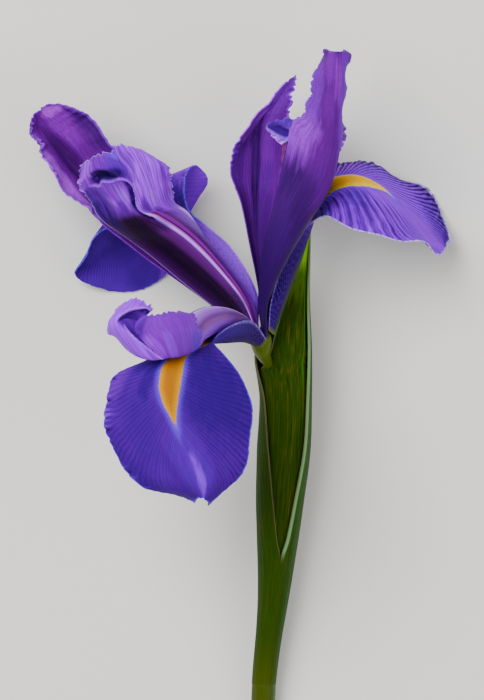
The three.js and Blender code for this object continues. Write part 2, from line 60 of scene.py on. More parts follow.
# Petals: each row is a station from base to tip, with a point on the left margin, one on the
# midrib and one on the right margin, seen with the inner face up, in mm
FALL_FRONT = [
    [[2, 1.8, 33.5], [4.2, 0.8, 34.8], [6.2, 2.5, 35]],
    [[-1.5, 7, 41], [0.8, 1.8, 42], [2.4, 7.2, 44.5]],
    [[-7.5, 6.5, 51], [-4, 1.5, 53], [-2.8, 6.2, 55.5]],
    [[-14.5, 2.5, 61], [-10.2, 0.8, 63], [-7, 2.4, 61.5]],
    [[-24, -2.8, 65], [-15.8, -2, 68.5], [-4.5, -1.2, 64]],
    [[-32.2, -7.2, 65], [-17.5, -7.5, 70], [0.2, -7, 64.5]],
    [[-33.8, -14.5, 65], [-17.5, -13.5, 70], [2.2, -13.5, 65]],
    [[-33, -21.8, 65], [-16.5, -20, 69.5], [2.4, -20.8, 65]],
    [[-29.5, -28.8, 64], [-14.5, -26.8, 69], [0.8, -28.2, 64.5]],
    [[-22.4, -34.6, 62.5], [-12, -32.8, 67.5], [-2.8, -34, 63.5]],
    [[-11.6, -37.6, 61], [-10.1, -36.4, 65.5], [-8.7, -37.9, 63]],
]
FALL_BACK = [
    [[4, 5, 31], [3.2, 3.5, 29.5], [2, 3.2, 29]],
    [[3.5, 14.5, 30.5], [-0.2, 13.2, 25], [-3.5, 11.2, 26]],
    [[-2.2, 24.8, 28.5], [-7.5, 21.8, 21], [-11, 16.8, 23]],
    [[-9, 31.2, 25], [-14.2, 28.2, 18], [-18.5, 22, 20]],
    [[-13.2, 35.2, 22], [-19.8, 34.5, 16], [-24.8, 28.2, 17]],
    [[-14.5, 43.5, 18], [-25.2, 40, 13], [-32.8, 30.8, 14]],
    [[-11.2, 45.8, 13], [-28.8, 36.8, 8], [-38.8, 25.5, 10]],
    [[-8.6, 42.6, 8], [-29.5, 30, 4], [-42, 19.5, 6]],
    [[-13.5, 33.5, 3.5], [-28.8, 22.5, 1.2], [-38.2, 16.2, 2.5]],
    [[-19.2, 19, 1], [-25.5, 15.2, 0.3], [-32.5, 15, 1]],
]
FALL_RIGHT = [
    [[6.5, 5, 34.5], [8, 3.8, 31.5], [7.5, 5.2, 29.5]],
    [[7.2, 12.5, 35], [10.5, 11.2, 30.5], [9, 12.5, 27]],
    [[10.2, 21.5, 35], [14, 20.5, 29], [12.5, 22, 25]],
    [[14.5, 28.8, 34], [16.8, 28.2, 29], [16.2, 30.5, 24]],
    [[18, 32.2, 33], [19.2, 35.5, 28], [19, 40, 21]],
    [[21.2, 33.2, 34], [23, 40, 28], [22.2, 46.5, 17]],
    [[26, 31, 35], [28.2, 42.2, 26.5], [27.8, 47.8, 11]],
    [[31.8, 28.8, 35], [33.5, 40.8, 24], [34.4, 46.2, 6]],
    [[38, 27.8, 33], [39, 36.8, 21], [40.9, 43.5, 2]],
    [[43.8, 27, 30], [43.8, 32, 18], [47.3, 39.8, -0.2]],
    [[47.5, 25.5, 25], [47.5, 28.2, 15], [51, 34.6, 2.5]],
    [[49.8, 23.9, 20.5], [51, 24.9, 14], [52.4, 26.7, 8]],
]
STANDARD_LEFT = [
    [[2.8, 3, 31.5], [2, 2.5, 32], [1.5, 1.8, 32.3]],
    [[-4, 11.8, 28.5], [-5, 10.8, 28], [-5.8, 9.5, 28.5]],
    [[-11.5, 18.8, 26.5], [-13.5, 17.2, 26], [-14.8, 16.5, 26.5]],
    [[-18.5, 26.5, 24], [-23, 24, 23], [-24, 23, 24]],
    [[-24.2, 36.2, 24], [-31.2, 32, 21], [-33.5, 30.5, 23.5]],
    [[-28.5, 44.5, 24], [-38, 39.8, 20.5], [-41.4, 37.4, 24.5]],
    [[-32.2, 50.8, 23.5], [-43, 46, 20.5], [-47.4, 43.6, 25.5]],
    [[-37.2, 57.5, 23], [-47.2, 51.5, 21], [-50, 49.5, 25]],
    [[-42.5, 61, 23], [-50.5, 55.8, 21.5], [-52.2, 53.2, 24]],
    [[-48.5, 61.8, 23], [-52, 59.5, 22.5], [-53.2, 56.5, 23.5]],
]
STANDARD_FRONT = [
    [[5.2, 3.8, 34], [5.8, 3.2, 34.6], [6.2, 3.5, 34]],
    [[4.1, 12.5, 36.5], [5.5, 12.5, 37.6], [6.5, 11.8, 37]],
    [[5.3, 25, 38], [8.8, 22, 40], [11, 22, 38.5]],
    [[7.9, 36.2, 38.5], [13.8, 32, 42], [16.2, 31, 39]],
    [[10.7, 48, 38.5], [19.5, 40.5, 43], [20.8, 39.5, 40.5]],
    [[12.6, 57.6, 38], [22, 48.8, 43], [23.8, 49, 40]],
    [[15.4, 59.4, 37.8], [22.8, 55, 42.8], [24.6, 55.5, 39.5]],
    [[16.4, 63.5, 37.5], [23.3, 61, 42.5], [25.2, 61.5, 39]],
    [[18, 68.4, 37.5], [23.8, 67.5, 42], [25.8, 67, 39]],
    [[19.8, 73.5, 38], [23.8, 73.5, 41.5], [26.8, 72.5, 39]],
    [[21.2, 74.8, 38.5], [23.7, 74.2, 41], [25.8, 75.2, 39.5]],
]
STANDARD_BACK = [
    [[6.5, 4.5, 29], [6, 4.2, 29.5], [5.2, 4.2, 29.3]],
    [[5.8, 15, 27.5], [5, 15, 26.6], [4.2, 15, 27]],
    [[6.3, 26.2, 26.5], [4, 26.2, 23], [2, 26.2, 25]],
    [[8.9, 36.2, 26.5], [3.5, 36.2, 20.5], [-0.2, 36.8, 24]],
    [[11.2, 46.2, 26.5], [3.5, 45, 18.5], [-3.2, 45.5, 22.5]],
    [[11.8, 55, 26], [4, 53, 18], [-1.6, 52, 22]],
    [[12.2, 60.5, 25], [5.5, 58.8, 18.5], [3.2, 58.6, 22]],
    [[13, 65, 24.5], [8.8, 63.8, 20], [7.4, 63.2, 22.5]],
    [[13.5, 69.2, 23.5], [12.5, 68.2, 21.5], [11.2, 67.8, 22.5]],
]

# Style arms: two flaps that share a keel and part at the crest. A station holds a point on the
# keel, one half way down the flap and one on its outer margin
STYLE_FRONT_NEAR = [
    [[4.2, 4.8, 33.6], [4.8, 4.2, 34.4], [5, 3.8, 34.8]],
    [[0.2, 8.6, 43], [1.2, 7.5, 43.8], [1.5, 5.5, 43]],
    [[-5.2, 10.5, 53], [-4, 8.8, 54.5], [-4.2, 5, 53.5]],
    [[-10.8, 9.7, 61.5], [-8.8, 7, 63], [-8.8, 3, 62]],
    [[-15.5, 5.5, 68.5], [-11.5, 3, 68.5], [-10, 1.5, 65.5]],
    [[-18.8, -1.8, 73], [-14.5, -1.2, 72.5], [-10.5, 1.2, 68]],
    [[-21.8, 1.2, 76], [-16, 3.8, 77.5], [-9.8, 4.5, 72]],
    [[-25.5, 5, 76.5], [-17.5, 7.5, 78.5], [-11.3, 7.2, 73.5]],
    [[-23, 8.6, 75.5], [-18.6, 9.3, 77.5], [-13.8, 9.9, 73]],
]
STYLE_FRONT_FAR = [
    [[4.2, 4.8, 33.6], [3.8, 4.5, 33.2], [3.5, 4, 32.8]],
    [[0.2, 8.6, 43], [-1, 8, 41], [-1.2, 5.8, 39.5]],
    [[-5.2, 10.5, 53], [-7.5, 9, 51.5], [-8.5, 5, 49]],
    [[-10.8, 9.7, 61.5], [-14.5, 7.5, 62], [-16.5, 2.5, 59]],
    [[-15.5, 5.5, 68.5], [-20.5, 3, 68.5], [-23.8, 0, 66]],
    [[-18.8, -1.8, 73], [-23.5, -2.2, 72], [-28, 0, 68]],
    [[-22, 1.4, 74.2], [-28.6, 2.3, 75], [-31.4, 3.4, 70]],
    [[-25, 6, 74], [-31.4, 7.4, 76], [-32.8, 5.6, 71.5]],
    [[-22, 11, 76], [-26.6, 12.6, 74], [-31.2, 9.3, 71]],
]
STYLE_BACK_NEAR = [
    [[3.5, 5.5, 33.2], [2.8, 5, 33], [2.2, 4.2, 32.6]],
    [[0.2, 13.5, 37.5], [-2.8, 12, 34.5], [-5.8, 9.8, 31.8]],
    [[-6.8, 22.5, 38], [-11, 19.5, 34], [-15.5, 17.5, 31]],
    [[-13.5, 29.2, 38], [-18.8, 25.8, 33], [-24, 24.5, 30]],
    [[-20.5, 33.8, 38], [-26, 30.5, 33.5], [-31.2, 29.8, 29]],
    [[-25.2, 35.2, 38], [-29.5, 35.5, 34.5], [-35.5, 33, 28.5]],
    [[-26, 40.2, 37.4], [-33, 40.5, 33.5], [-38.8, 38.2, 28]],
    [[-28.2, 45.2, 37.4], [-36, 45, 35.5], [-41, 42.5, 30]],
    [[-31.5, 50.4, 36.6], [-36.8, 48.5, 36.5], [-40.2, 46, 32.5]],
]
STYLE_BACK_FAR = [
    [[3.5, 5.5, 33.2], [4, 5.8, 32.8], [4.2, 5.2, 32]],
    [[0.2, 13.5, 37.5], [2, 12.8, 36], [2.8, 11.5, 33.5]],
    [[-6.8, 22.5, 38], [-3.8, 20.8, 35.5], [-2.5, 18.8, 31.5]],
    [[-13.5, 29.2, 38], [-10, 28.5, 34.5], [-8, 26, 29.5]],
    [[-20.5, 33.8, 38], [-16.5, 34, 34.5], [-13.2, 34, 28.5]],
    [[-25, 35.2, 38.5], [-20.5, 36, 38], [-16.8, 36.8, 31]],
    [[-26.2, 40, 39.5], [-22.5, 42, 42], [-17.2, 40, 35]],
    [[-28.5, 45.5, 40], [-24, 47.5, 43.5], [-17.8, 43.8, 37.5]],
    [[-31.8, 51.8, 39.5], [-26.8, 50.5, 42.5], [-21.2, 48, 39]],
]
STYLE_RIGHT_NEAR = [
    [[4.8, 5.8, 33.8], [5.5, 5.5, 34.2], [6, 5, 34]],
    [[5.5, 13.8, 32.5], [6.4, 13, 33.6], [7.5, 11.8, 32.3]],
    [[7, 25, 32], [8.8, 23.5, 33.4], [10.5, 21.2, 32]],
    [[8.2, 33.8, 32], [11, 31.8, 33.8], [13.5, 29.2, 31.8]],
    [[9.8, 41.8, 32.5], [13.5, 39.2, 34.6], [17, 35.5, 32.5]],
    [[11.5, 48.8, 33], [16.2, 46.2, 35], [20.8, 40.5, 33]],
    [[12, 52.5, 32.5], [15, 52.5, 34.5], [20, 47.5, 34.5]],
    [[11.5, 55.5, 32], [10.5, 56, 34.6], [15.6, 53.6, 35]],
    [[12.8, 58, 31], [5.8, 56.4, 33], [9.8, 51.4, 33.8]],
]
STYLE_RIGHT_FAR = [
    [[4.8, 5.8, 33.8], [5.5, 6.2, 33], [6, 6, 32.2]],
    [[5.5, 13.8, 32.5], [6.8, 14, 30.4], [8.2, 12.5, 29]],
    [[7, 25, 32], [9.5, 25, 29], [11.8, 22, 27.5]],
    [[8.2, 33.8, 32], [12, 33.8, 28.2], [15, 30, 27]],
    [[9.8, 41.8, 32.5], [14.5, 42, 27.5], [17.2, 38, 26]],
    [[11.5, 48.8, 33], [18, 48.6, 27.5], [22.2, 45, 25]],
    [[12.5, 52.5, 32.5], [19.5, 53, 28.5], [24.8, 50, 26]],
    [[14.5, 55.5, 32.5], [20.8, 57, 30.5], [26.2, 54, 28.5]],
    [[15.8, 58, 32.5], [20.8, 59.5, 31.5], [24.8, 58.8, 30]],
]

# Thickness of a filament, and its way under its style arm, in mm
FILAMENT_RADIUS = 0.42
STAMENS = {
    "front": [[4.3, 2.9, 34.4], [0.6, 5.2, 42.4], [-5, 5.6, 53.1], [-10.4, 4.8, 60]],
    "back": [[3, 4.4, 30.9], [-1, 12.4, 30.3], [-7.6, 20.8, 29], [-13, 26.8, 28]],
    "right": [[6.8, 5.2, 32.2], [8.4, 12, 31], [11.6, 21.4, 30], [14.4, 28, 29.4]],
}
# The line of stem and bracts: x, y and height of the centre, in mm
STALK_LINE = [
    [4.9, -100, 2.9],
    [5.6, -83, 5.8],
    [7.9, -62.5, 9.3],
    [9, -47.5, 11.8],
    [9.6, -37.5, 13.5],
    [10.5, -25, 15.6],
    [11, -12, 17.6],
    [10.4, 0, 18.4],
    [12, 12.5, 18.8],
    [14.4, 22.5, 18.6],
    [16.8, 29.5, 18.2],
]
# Bracts: y, half width and half depth in mm, and the angles of the two margins in degrees,
# from +X over the front (90) to the left (180) and on round the back
OUTER_BRACT = [
    [-84.4, 3.05, 3.05, 77, 437],
    [-72.5, 3.35, 3.35, 77, 437],
    [-62.5, 3.95, 3.8, 77, 437],
    [-53, 4.75, 4.3, 77, 437],
    [-47.5, 5.25, 4.6, 92, 424],
    [-37.5, 6.1, 5, 108, 412],
    [-25, 6.75, 5.4, 126, 400],
    [-12, 6.6, 5.4, 148, 394],
    [0, 7.2, 5.2, 178, 386],
    [12.5, 5.1, 3.8, 196, 384],
    [22.5, 2.8, 2, 200, 384],
    [29.5, 0.5, 0.6, 210, 380],
]
INNER_BRACT = [
    [-56, 3.55, 3.15, -25, 205],
    [-47.5, 4.15, 3.5, -20, 200],
    [-37.5, 5, 3.9, -15, 196],
    [-25, 5.65, 4.3, -8, 192],
    [-12, 5.7, 4.4, -4, 194],
    [-6, 5.9, 4.4, -2, 190],
    [-3.5, 5.95, 4.4, 0, 140],
    [0, 6, 4.4, 0, 122],
    [6, 5.2, 4, 0, 117],
    [12.5, 4.1, 3.1, 0, 118],
    [22.5, 2, 1.5, 0, 124],
    [28.5, 0.5, 0.7, 10, 140],
]
# Stem: y and radius in mm. Ovary and tube: x, y, height and radius in mm
STEM_RADII = [
    (-100, 3),
    (-92, 3),
    (-84.2, 3),
    (-83.4, 2),
    (-70, 2),
    (-50, 2),
    (-36, 2),
    (-22.2, 2),
]
TUBE = [
    [10.8, -21.6, 16.1, 1.9],
    [10.7, -18, 16.5, 2.4],
    [10.2, -12, 17.1, 2.4],
    [9, -7.6, 17.6, 1.9],
    [7.6, -5, 19, 1.4],
    [6.5, -3.2, 21.4, 1.3],
    [5.6, -1.6, 23.6, 1.7],
    [5.0, 0.2, 25.2, 2.4],
    [4.7, 2.2, 26.2, 2.8],
    [4.6, 3.8, 26.8, 2.4],
    [4.6, 4.6, 27, 0.6],
]
# Signal: share of the fall's length, and its left and right edge from the midrib in mm
SIGNAL_FRONT = [
    (0.0, 0, 0),
    (0.2, -1.2, 1.2),
    (0.38, -2.1, 1.9),
    (0.46, -2.9, 2.5),
    (0.53, -2.8, 2.4),
    (0.59, -2.0, 1.7),
    (0.65, -0.4, 0.9),
    (0.70, 0.5, 0.5),
    (0.79, 2.5, -1.5),
    (1.0, 12, -12),
]
SIGNAL_RIGHT = [
    (0.0, -0.2, 0.2),
    (0.2, -0.8, 1.2),
    (0.33, -1.0, 4.0),
    (0.45, -0.6, 5.2),
    (0.51, -1.6, 3.6),
    (0.56, -2.2, 2.6),
    (0.63, -0.9, 2.0),
    (0.68, 0.7, 1.6),
    (0.73, 1.0, 1.0),
    (0.8, 2.4, -0.4),
    (1.0, 12, -12),
]

# Rolled edges drawn over a flap: across, along, and how deep the petal lies on the roll's upper
# side, towards the tip, and on its lower side, in mm
POCKET_LIP = [
    [-1.08, 0.975, 0.4, 0],
    [-0.85, 0.972, 0.9, 0],
    [-0.63, 0.955, 1.2, 0],
    [-0.42, 0.94, 1.2, 0],
    [-0.25, 0.915, 0.9, 0],
    [-0.13, 0.88, 0.4, 0],
    [-0.1, 0.84, 0, 0],
    [-0.5, 0.7, 0, 0],
    [-0.97, 0.58, 0, 0],
    [-0.93, 0.65, 0, 0.35],
    [-0.8, 0.71, 0, 0.55],
    [-0.62, 0.755, 0, 0.6],
    [-0.52, 0.8, 0, 0.5],
    [-0.46, 0.85, 0, 0.2],
]
CREST_LIP = [
    [0.72, 0.8, 0, 0],
    [0.42, 0.785, 0.5, 0],
    [0.29, 0.775, 0.9, 0],
    [0.1, 0.795, 1.3, 0],
    [-0.16, 0.785, 1.2, 0],
    [-0.55, 0.8, 0.5, 0.1],
    [-0.78, 0.79, 0.1, 0.8],
    [-0.86, 0.74, 0, 1.4],
    [-0.88, 0.67, 0, 1.5],
    [-0.84, 0.6, 0, 1.2],
    [-0.81, 0.53, 0, 0.5],
]
CURL_LIP = [
    [0.25, 1, 0.3, 0],
    [0.5, 0.983, 0.7, 0],
    [0.7, 0.973, 0.8, 0],
    [0.85, 0.968, 0.7, 0],
    [1, 0.962, 0.4, 0],
]
# Parts that a lip's line is cut into, half width and height of its roll, and where the hollows
# above and below it begin, are full, begin to end and end, in mm from the line
LIP_PARTS = 90
LIP_HALF_WIDTH = 0.24
LIP_HEIGHT = 0.3
HOLLOW_ABOVE = (0.1, 0.7, 1.5, 4.5)
HOLLOW_BELOW = (0.1, 0.45, 0.9, 2.2)
SIGNAL_HEIGHT = 0.35
# Margins: share of the length over which their waves grow and how far the right one's run ahead,
# the shares between which a calm one calms, and where the teeth of the sides and the tip start
WAVE_GROWTH = 0.25
MARGIN_PHASE = 1.3
CALM_FROM, CALM_TO = 0.64, 0.74
TEETH_FROM = 0.86
TIP_TEETH_FROM = 0.965

# What the petals of a kind share. grid: rows from base to tip, and columns from margin to margin.
# wave: height in mm of the margins' waves, their number along the petal, and where they start.
# frill: height in mm, number along the petal, how close it keeps to the margin, its strength on
# the left and right margin, and depth of the teeth in mm. lap: how far it reaches over its keel.
FALL = dict(grid=(176, 60), wave=(0.7, 5, 0.35), lap=0)
STANDARD = dict(grid=(160, 50), wave=(0.6, 6, 0.35), lap=0)
FLAP = dict(grid=(200, 64), wave=(0.7, 5, 0.6), lap=0.1, frill=(0.4, 22, 4, 0.2, 1.3, 1.1))
# A bract: its grid, and the number of its ribs and their height in mm
BRACT_GRID = (130, 72)
BRACT_RIBS = 26
BRACT_RIB_HEIGHT = 0.05
# Parts that the stalk's line is cut into, and the edges that are shaded smooth
STALK_PARTS = 800
SMOOTH_ANGLE = math.radians(50)


# Curves and random lines


def curve_at(points, at):
    """Points at shares of the way along a smooth curve through the given points."""
    knots = np.array(points, float)
    knots = np.vstack([2 * knots[0] - knots[1], knots, 2 * knots[-1] - knots[-2]])
    place = np.asarray(at, float) * (len(points) - 1)
    first = np.clip(place.astype(int), 0, len(points) - 2)
    f = (place - first)[..., None]
    a, b, c, d = (knots[first + k] for k in range(4))
    cubic = (2 * a - 5 * b + 4 * c - d) * f**2 + (3 * b - a - 3 * c + d) * f**3
    return 0.5 * (2 * b + (c - a) * f + cubic)


def smooth_step(value, low, high):
    share = np.clip((value - low) / (high - low), 0, 1)
    return share * share * (3 - 2 * share)


def random_line(seed, count, at):
    """A smooth random line from -1 to 1 with about that many turns, read at shares of its way."""
    heights = np.random.default_rng(seed).uniform(-1, 1, count + 1)
    return curve_at(heights[:, None], np.clip(at, 0, 1))[..., 0]


def unit(vectors):
    return vectors / np.maximum(np.linalg.norm(vectors, axis=-1, keepdims=True), 1e-9)


def stalk_at(y):
    """x, y and height of the stalk's centre where it passes each y."""
    line = curve_at(STALK_LINE, np.linspace(0, 1, STALK_PARTS))
    return [np.interp(y, line[:, 1], line[:, k]) for k in range(3)]


# Meshes


def clear_selection():
    for piece in bpy.context.selected_objects:
        piece.select_set(False)


def name_added(name):
    """Names the piece that an operator has just added, and its mesh."""
    piece = bpy.context.object
    piece.name = piece.data.name = name
    return piece, piece.data


def in_edit_mode(action, **settings):
    """Runs a mesh operator in edit mode, with all of the active piece selected."""
    bpy.ops.object.mode_set(mode="EDIT")
    bpy.ops.mesh.select_all(action="SELECT")
    action(**settings)
    bpy.ops.object.mode_set(mode="OBJECT")


def set_field(mesh, name, values):
    field = mesh.attributes.new(name, "FLOAT", "POINT")
    field.data.foreach_set("value", np.asarray(values, np.float32))


def points_of(mesh):
    flat = np.zeros(len(mesh.vertices) * 3)
    mesh.vertices.foreach_get("co", flat)
    return flat.reshape(-1, 3)


def put_points(mesh, points):
    """Puts a mesh's points there, in metres, and none below the surface."""
    points[:, 2] = np.maximum(points[:, 2], 0)
    mesh.vertices.foreach_set("co", points.astype(np.float32).ravel())
    mesh.update()


def add_sheet(name, form, thickness, finishes, face_inward=True):
    """A thin closed sheet. form holds its points by row and column, its fields, and its UV."""
    points, fields, across, along = form
    rows, columns = points.shape[0] - 1, points.shape[1] - 1
    clear_selection()
    bpy.ops.mesh.primitive_grid_add(x_subdivisions=columns, y_subdivisions=rows, size=2)
    piece, mesh = name_added(name)
    if face_inward:
        in_edit_mode(bpy.ops.mesh.flip_normals)
    x, y, _ = points_of(mesh).T
    row = np.rint((y + 1) / 2 * rows).astype(int)
    column = np.rint((x + 1) / 2 * columns).astype(int)
    corners = np.zeros(len(mesh.loops), np.int32)
    mesh.loops.foreach_get("vertex_index", corners)
    cloth = np.stack([across[row, column] / 2 + 0.5, along[row, column]], axis=-1)
    mesh.uv_layers.active.data.foreach_set("uv", cloth[corners].astype(np.float32).ravel())
    for field, values in fields.items():
        set_field(mesh, field, values[row, column])
    put_points(mesh, (points[row, column] + DRAWING_SHIFT) * MM)
    for finish in finishes:
        mesh.materials.append(finish)
    bpy.ops.object.modifier_add(type="SOLIDIFY")
    shell = piece.modifiers[-1]
    shell.thickness, shell.offset = thickness, 0
    shell.use_quality_normals, shell.material_offset = True, 1
    bpy.ops.object.modifier_apply(modifier=shell.name)
    put_points(mesh, points_of(mesh))
    bpy.ops.object.shade_smooth_by_angle(angle=SMOOTH_ANGLE)
    return piece


def add_rod(name, way, radii, finish, swell, sides, rings):
    """A closed rod along a way of points in mm, with a radius at each; swell shapes its girth."""
    clear_selection()
    bpy.ops.mesh.primitive_cylinder_add(vertices=sides, radius=1, depth=2, end_fill_type="NGON")
    piece, mesh = name_added(name)
    bpy.ops.object.mode_set(mode="EDIT")
    bpy.ops.mesh.select_mode(type="EDGE")
    bpy.ops.mesh.select_all(action="DESELECT")
    bpy.ops.object.mode_set(mode="OBJECT")
    for edge in mesh.edges:
        ends = [mesh.vertices[i].co.z for i in edge.vertices]
        edge.select = abs(ends[0] - ends[1]) > 1
    bpy.ops.object.mode_set(mode="EDIT")
    bpy.ops.mesh.subdivide_edgering(number_cuts=rings - 1)
    bpy.ops.object.mode_set(mode="OBJECT")
    x, y, z = points_of(mesh).T
    along, angle = (z + 1) / 2, np.arctan2(y, x)
    centre, step = curve_at(way, along), 0.01
    before, after = np.maximum(along - step, 0), np.minimum(along + step, 1)
    ahead = unit(curve_at(way, after) - curve_at(way, before))
    side = unit(np.array([1.0, 0, 0]) - ahead * ahead[:, :1])
    up = np.cross(side, ahead)
    radius = curve_at([[r] for r in radii], along)[:, 0] * swell(along, angle)
    round_it = side * np.cos(angle)[:, None] + up * np.sin(angle)[:, None]
    set_field(mesh, "along", along)
    set_field(mesh, "angle", angle)
    put_points(mesh, (centre + round_it * radius[:, None] + DRAWING_SHIFT) * MM)
    mesh.materials.append(finish)
    in_edit_mode(bpy.ops.mesh.normals_make_consistent, inside=False)
    bpy.ops.object.shade_smooth_by_angle(angle=SMOOTH_ANGLE)
    return piece


def hand_over(piece, node):
    """The piece stands for a node of the part and moves with it."""
    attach(piece, "root")
    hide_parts(node)


# Forms of petals, flaps and bracts


def hollow_at(far, begin, full, fade, end):
    """How full a hollow is at distances from its line."""
    return smooth_step(far, begin, full) * (1 - smooth_step(far, fade, end))


def lip_relief(surface, points, across, along, lip):
    """The roll of a lip, and the hollows beside it."""
    line = curve_at(lip, np.linspace(0, 1, LIP_PARTS))
    spots, _ = surface(line[:, 0], line[:, 1])
    gaps = np.linalg.norm(points[..., None, :] - spots, axis=-1)
    nearest = gaps.argmin(axis=-1)
    far = gaps.min(axis=-1)
    way = np.gradient(line[:, :2], axis=0)[nearest]
    offset = np.stack([across, along], axis=-1) - line[nearest, :2]
    side = np.sign(way[..., 1] * offset[..., 0] - way[..., 0] * offset[..., 1])
    depth = line[nearest, 2:]
    above = hollow_at(far, *HOLLOW_ABOVE) * (side > 0)
    below = hollow_at(far, *HOLLOW_BELOW) * (side < 0)
    hollow = depth[..., 0] * above + depth[..., 1] * below
    roll = np.exp(-((far / LIP_HALF_WIDTH) ** 2)) * np.clip(depth.sum(axis=-1) * 2, 0, 1)
    return roll, hollow


def petal_form(shape, frilled):
    """Points of a petal or flap between its three ribs, with waves, folds, frills and teeth.

    shape holds what its kind shares, its stations and the seed of its random lines. It may also
    hold folds, each with (across, along, its size across, its size along, height), a signal, a
    lip, and calm, which is how much the frill of the right margin fades towards the tip.
    """
    rows, columns = shape["grid"]
    lap = shape["lap"]
    even = np.linspace(-1, 1, columns + 1)
    packed = 0.5 * even + 0.5 * np.sin(even * np.pi / 2)
    across, along = np.meshgrid(
        -1 - lap + (packed + 1) / 2 * (2 + lap), np.linspace(0, 1, rows + 1)
    )
    ribs = np.swapaxes(shape["stations"], 0, 1)

    def surface(across, along):
        """Points between the three ribs, and half the way from the left to the right rib."""
        left, middle, right = (curve_at(rib, along) for rib in ribs)
        slope = (right - left) / 2
        bow = (right + left) / 2 - middle
        return middle + slope * across[..., None] + bow * (across**2)[..., None], slope

    def margins(offset, count):
        """A random line along each margin; offset keeps the lines of one petal apart."""
        seed = shape["seed"] + offset
        right, left = random_line(seed, count, along), random_line(seed + 50, count, along)
        return np.where(across > 0, right, left)

    points, slope = surface(across, along)
    middle = curve_at(ribs[1], along[:, 0])
    half_width = np.linalg.norm(slope, axis=-1)
    steps = np.linalg.norm(np.diff(middle, axis=0), axis=-1)
    length = np.concatenate([[0], np.cumsum(steps)])
    to_tip = (length[-1] - length)[:, None]
    out = np.clip(np.abs(across), 0, 1)
    normal = unit(np.cross(np.gradient(points, axis=0), np.gradient(points, axis=1)))
    height, number, start = shape["wave"]
    grown = smooth_step(along, start, start + WAVE_GROWTH)
    swing = np.sin(2 * np.pi * number * along + np.where(across > 0, MARGIN_PHASE, 0))
    rise = height * grown * out**3 * swing

    crimp, count, reach, at_left, at_right, teeth = shape["frill"]
    drift, gusts, ruffles = margins(0, 12), margins(2, 11), margins(8, int(1.7 * count))
    coarse_bite, fine_bite = margins(4, 60), margins(6, 130)
    strength = np.where(across > 0, at_right, at_left) * grown
    calm = shape.get("calm", 0) * smooth_step(along, CALM_FROM, CALM_TO)
    strength = strength * (1 - calm * (across > 0))
    pleats = 0.55 * np.sin(2 * np.pi * (count * along + 1.3 * drift)) + 0.75 * ruffles
    pleat = strength * (0.55 + 0.45 * gusts) * out**reach * pleats
    rise = rise + crimp * frilled * pleat
    for fold_across, fold_along, wide, long, fold_height in shape.get("folds", ()):
        far = ((across - fold_across) / wide) ** 2 + ((along - fold_along) / long) ** 2
        rise = rise + fold_height * np.exp(-far)
    fields = {"pleat": pleat, "roll": 0 * across, "hollow": 0 * across}
    if "signal" in shape:
        at, near, far = np.transpose(shape["signal"])
        offset = across * half_width
        inside = np.interp(along, at, far) - offset, offset - np.interp(along, at, near)
        fields["yellow"] = np.minimum(*inside)
        rise = rise + SIGNAL_HEIGHT * smooth_step(fields["yellow"], -0.3, 1.2)
    if "lip" in shape:
        roll, hollow = lip_relief(surface, points, across, along, shape["lip"])
        rise = rise + LIP_HEIGHT * roll - hollow
        fields |= {"roll": roll, "hollow": hollow}
    points = points + normal * rise[..., None]
    bite = coarse_bite + 0.6 * fine_bite
    toothed = np.minimum(strength, 1) * smooth_step(out, TEETH_FROM, 1)
    pull = teeth * toothed * np.clip(0.5 + bite, 0, 1.6) / 1.6
    points = points - unit(slope) * (np.sign(across) * pull)[..., None]
    tip_bite = random_line(shape["seed"] + 9, 24, across / 2 + 0.5)
    back = unit(np.gradient(points, axis=0))
    tip_pull = teeth * smooth_step(along, TIP_TEETH_FROM, 1) * (0.75 + tip_bite) / 2
    points = points - back * tip_pull[..., None]
    side = (1 - across) * half_width if lap else (1 - out) * half_width
    fields["edge"] = np.minimum(side, to_tip)
    return points, fields, across, along


def bract_form(table, thickness, flare):
    """Points of a bract wrapped round the stalk's line; flare lifts its free margins a little."""
    rows, columns = BRACT_GRID
    share, along = np.meshgrid(np.linspace(0, 1, columns + 1), np.linspace(0, 1, rows + 1))
    y, half_width, half_depth, start, end = np.moveaxis(curve_at(table, along), -1, 0)
    centre_x, _, centre_z = stalk_at(y)
    angle = np.radians(start + (end - start) * share)
    girth = np.radians(end - start) * (half_width + half_depth) / 2
    edge = np.minimum(share, 1 - share) * girth
    ribs = BRACT_RIB_HEIGHT * np.cos(share * 2 * np.pi * BRACT_RIBS) * smooth_step(edge, 0.2, 1.2)
    lift = flare * np.exp(-(edge**2)) * smooth_step(along, 0.27, 0.4) + ribs
    x = centre_x + (half_width - thickness / 2 + lift) * np.cos(angle)
    z = centre_z + (half_depth - thickness / 2 + lift) * np.sin(angle)
    fields = {"edge": edge, "angle": angle}
    return np.stack([x, y, z], axis=-1), fields, share * 2 - 1, along


# Finishes

VIOLET_SHEEN = (0.45, 0.1, 0.9)
GREEN_SHEEN = (0.6, 0.9, 0.3)
# Scale of the noise that stands for a petal's cells, and the shares between which a haft ends
CELLS = 5200
HAFT_END = (0.2, 0.36)


def hex_colour(code):
    """A colour written as #rrggbb, as the three numbers that Blender's colours hold."""
    parts = [int(code[i : i + 2], 16) / 255 for i in (1, 3, 5)]
    return tuple(c / 12.92 if c <= 0.04045 else ((c + 0.055) / 1.055) ** 2.4 for c in parts)


def arithmetic(operation, swapped=False):
    """One of Python's operators for Number."""

    def act(number, other):
        pair = (other, number) if swapped else (number, other)
        return number.maths(operation, *pair)

    return act


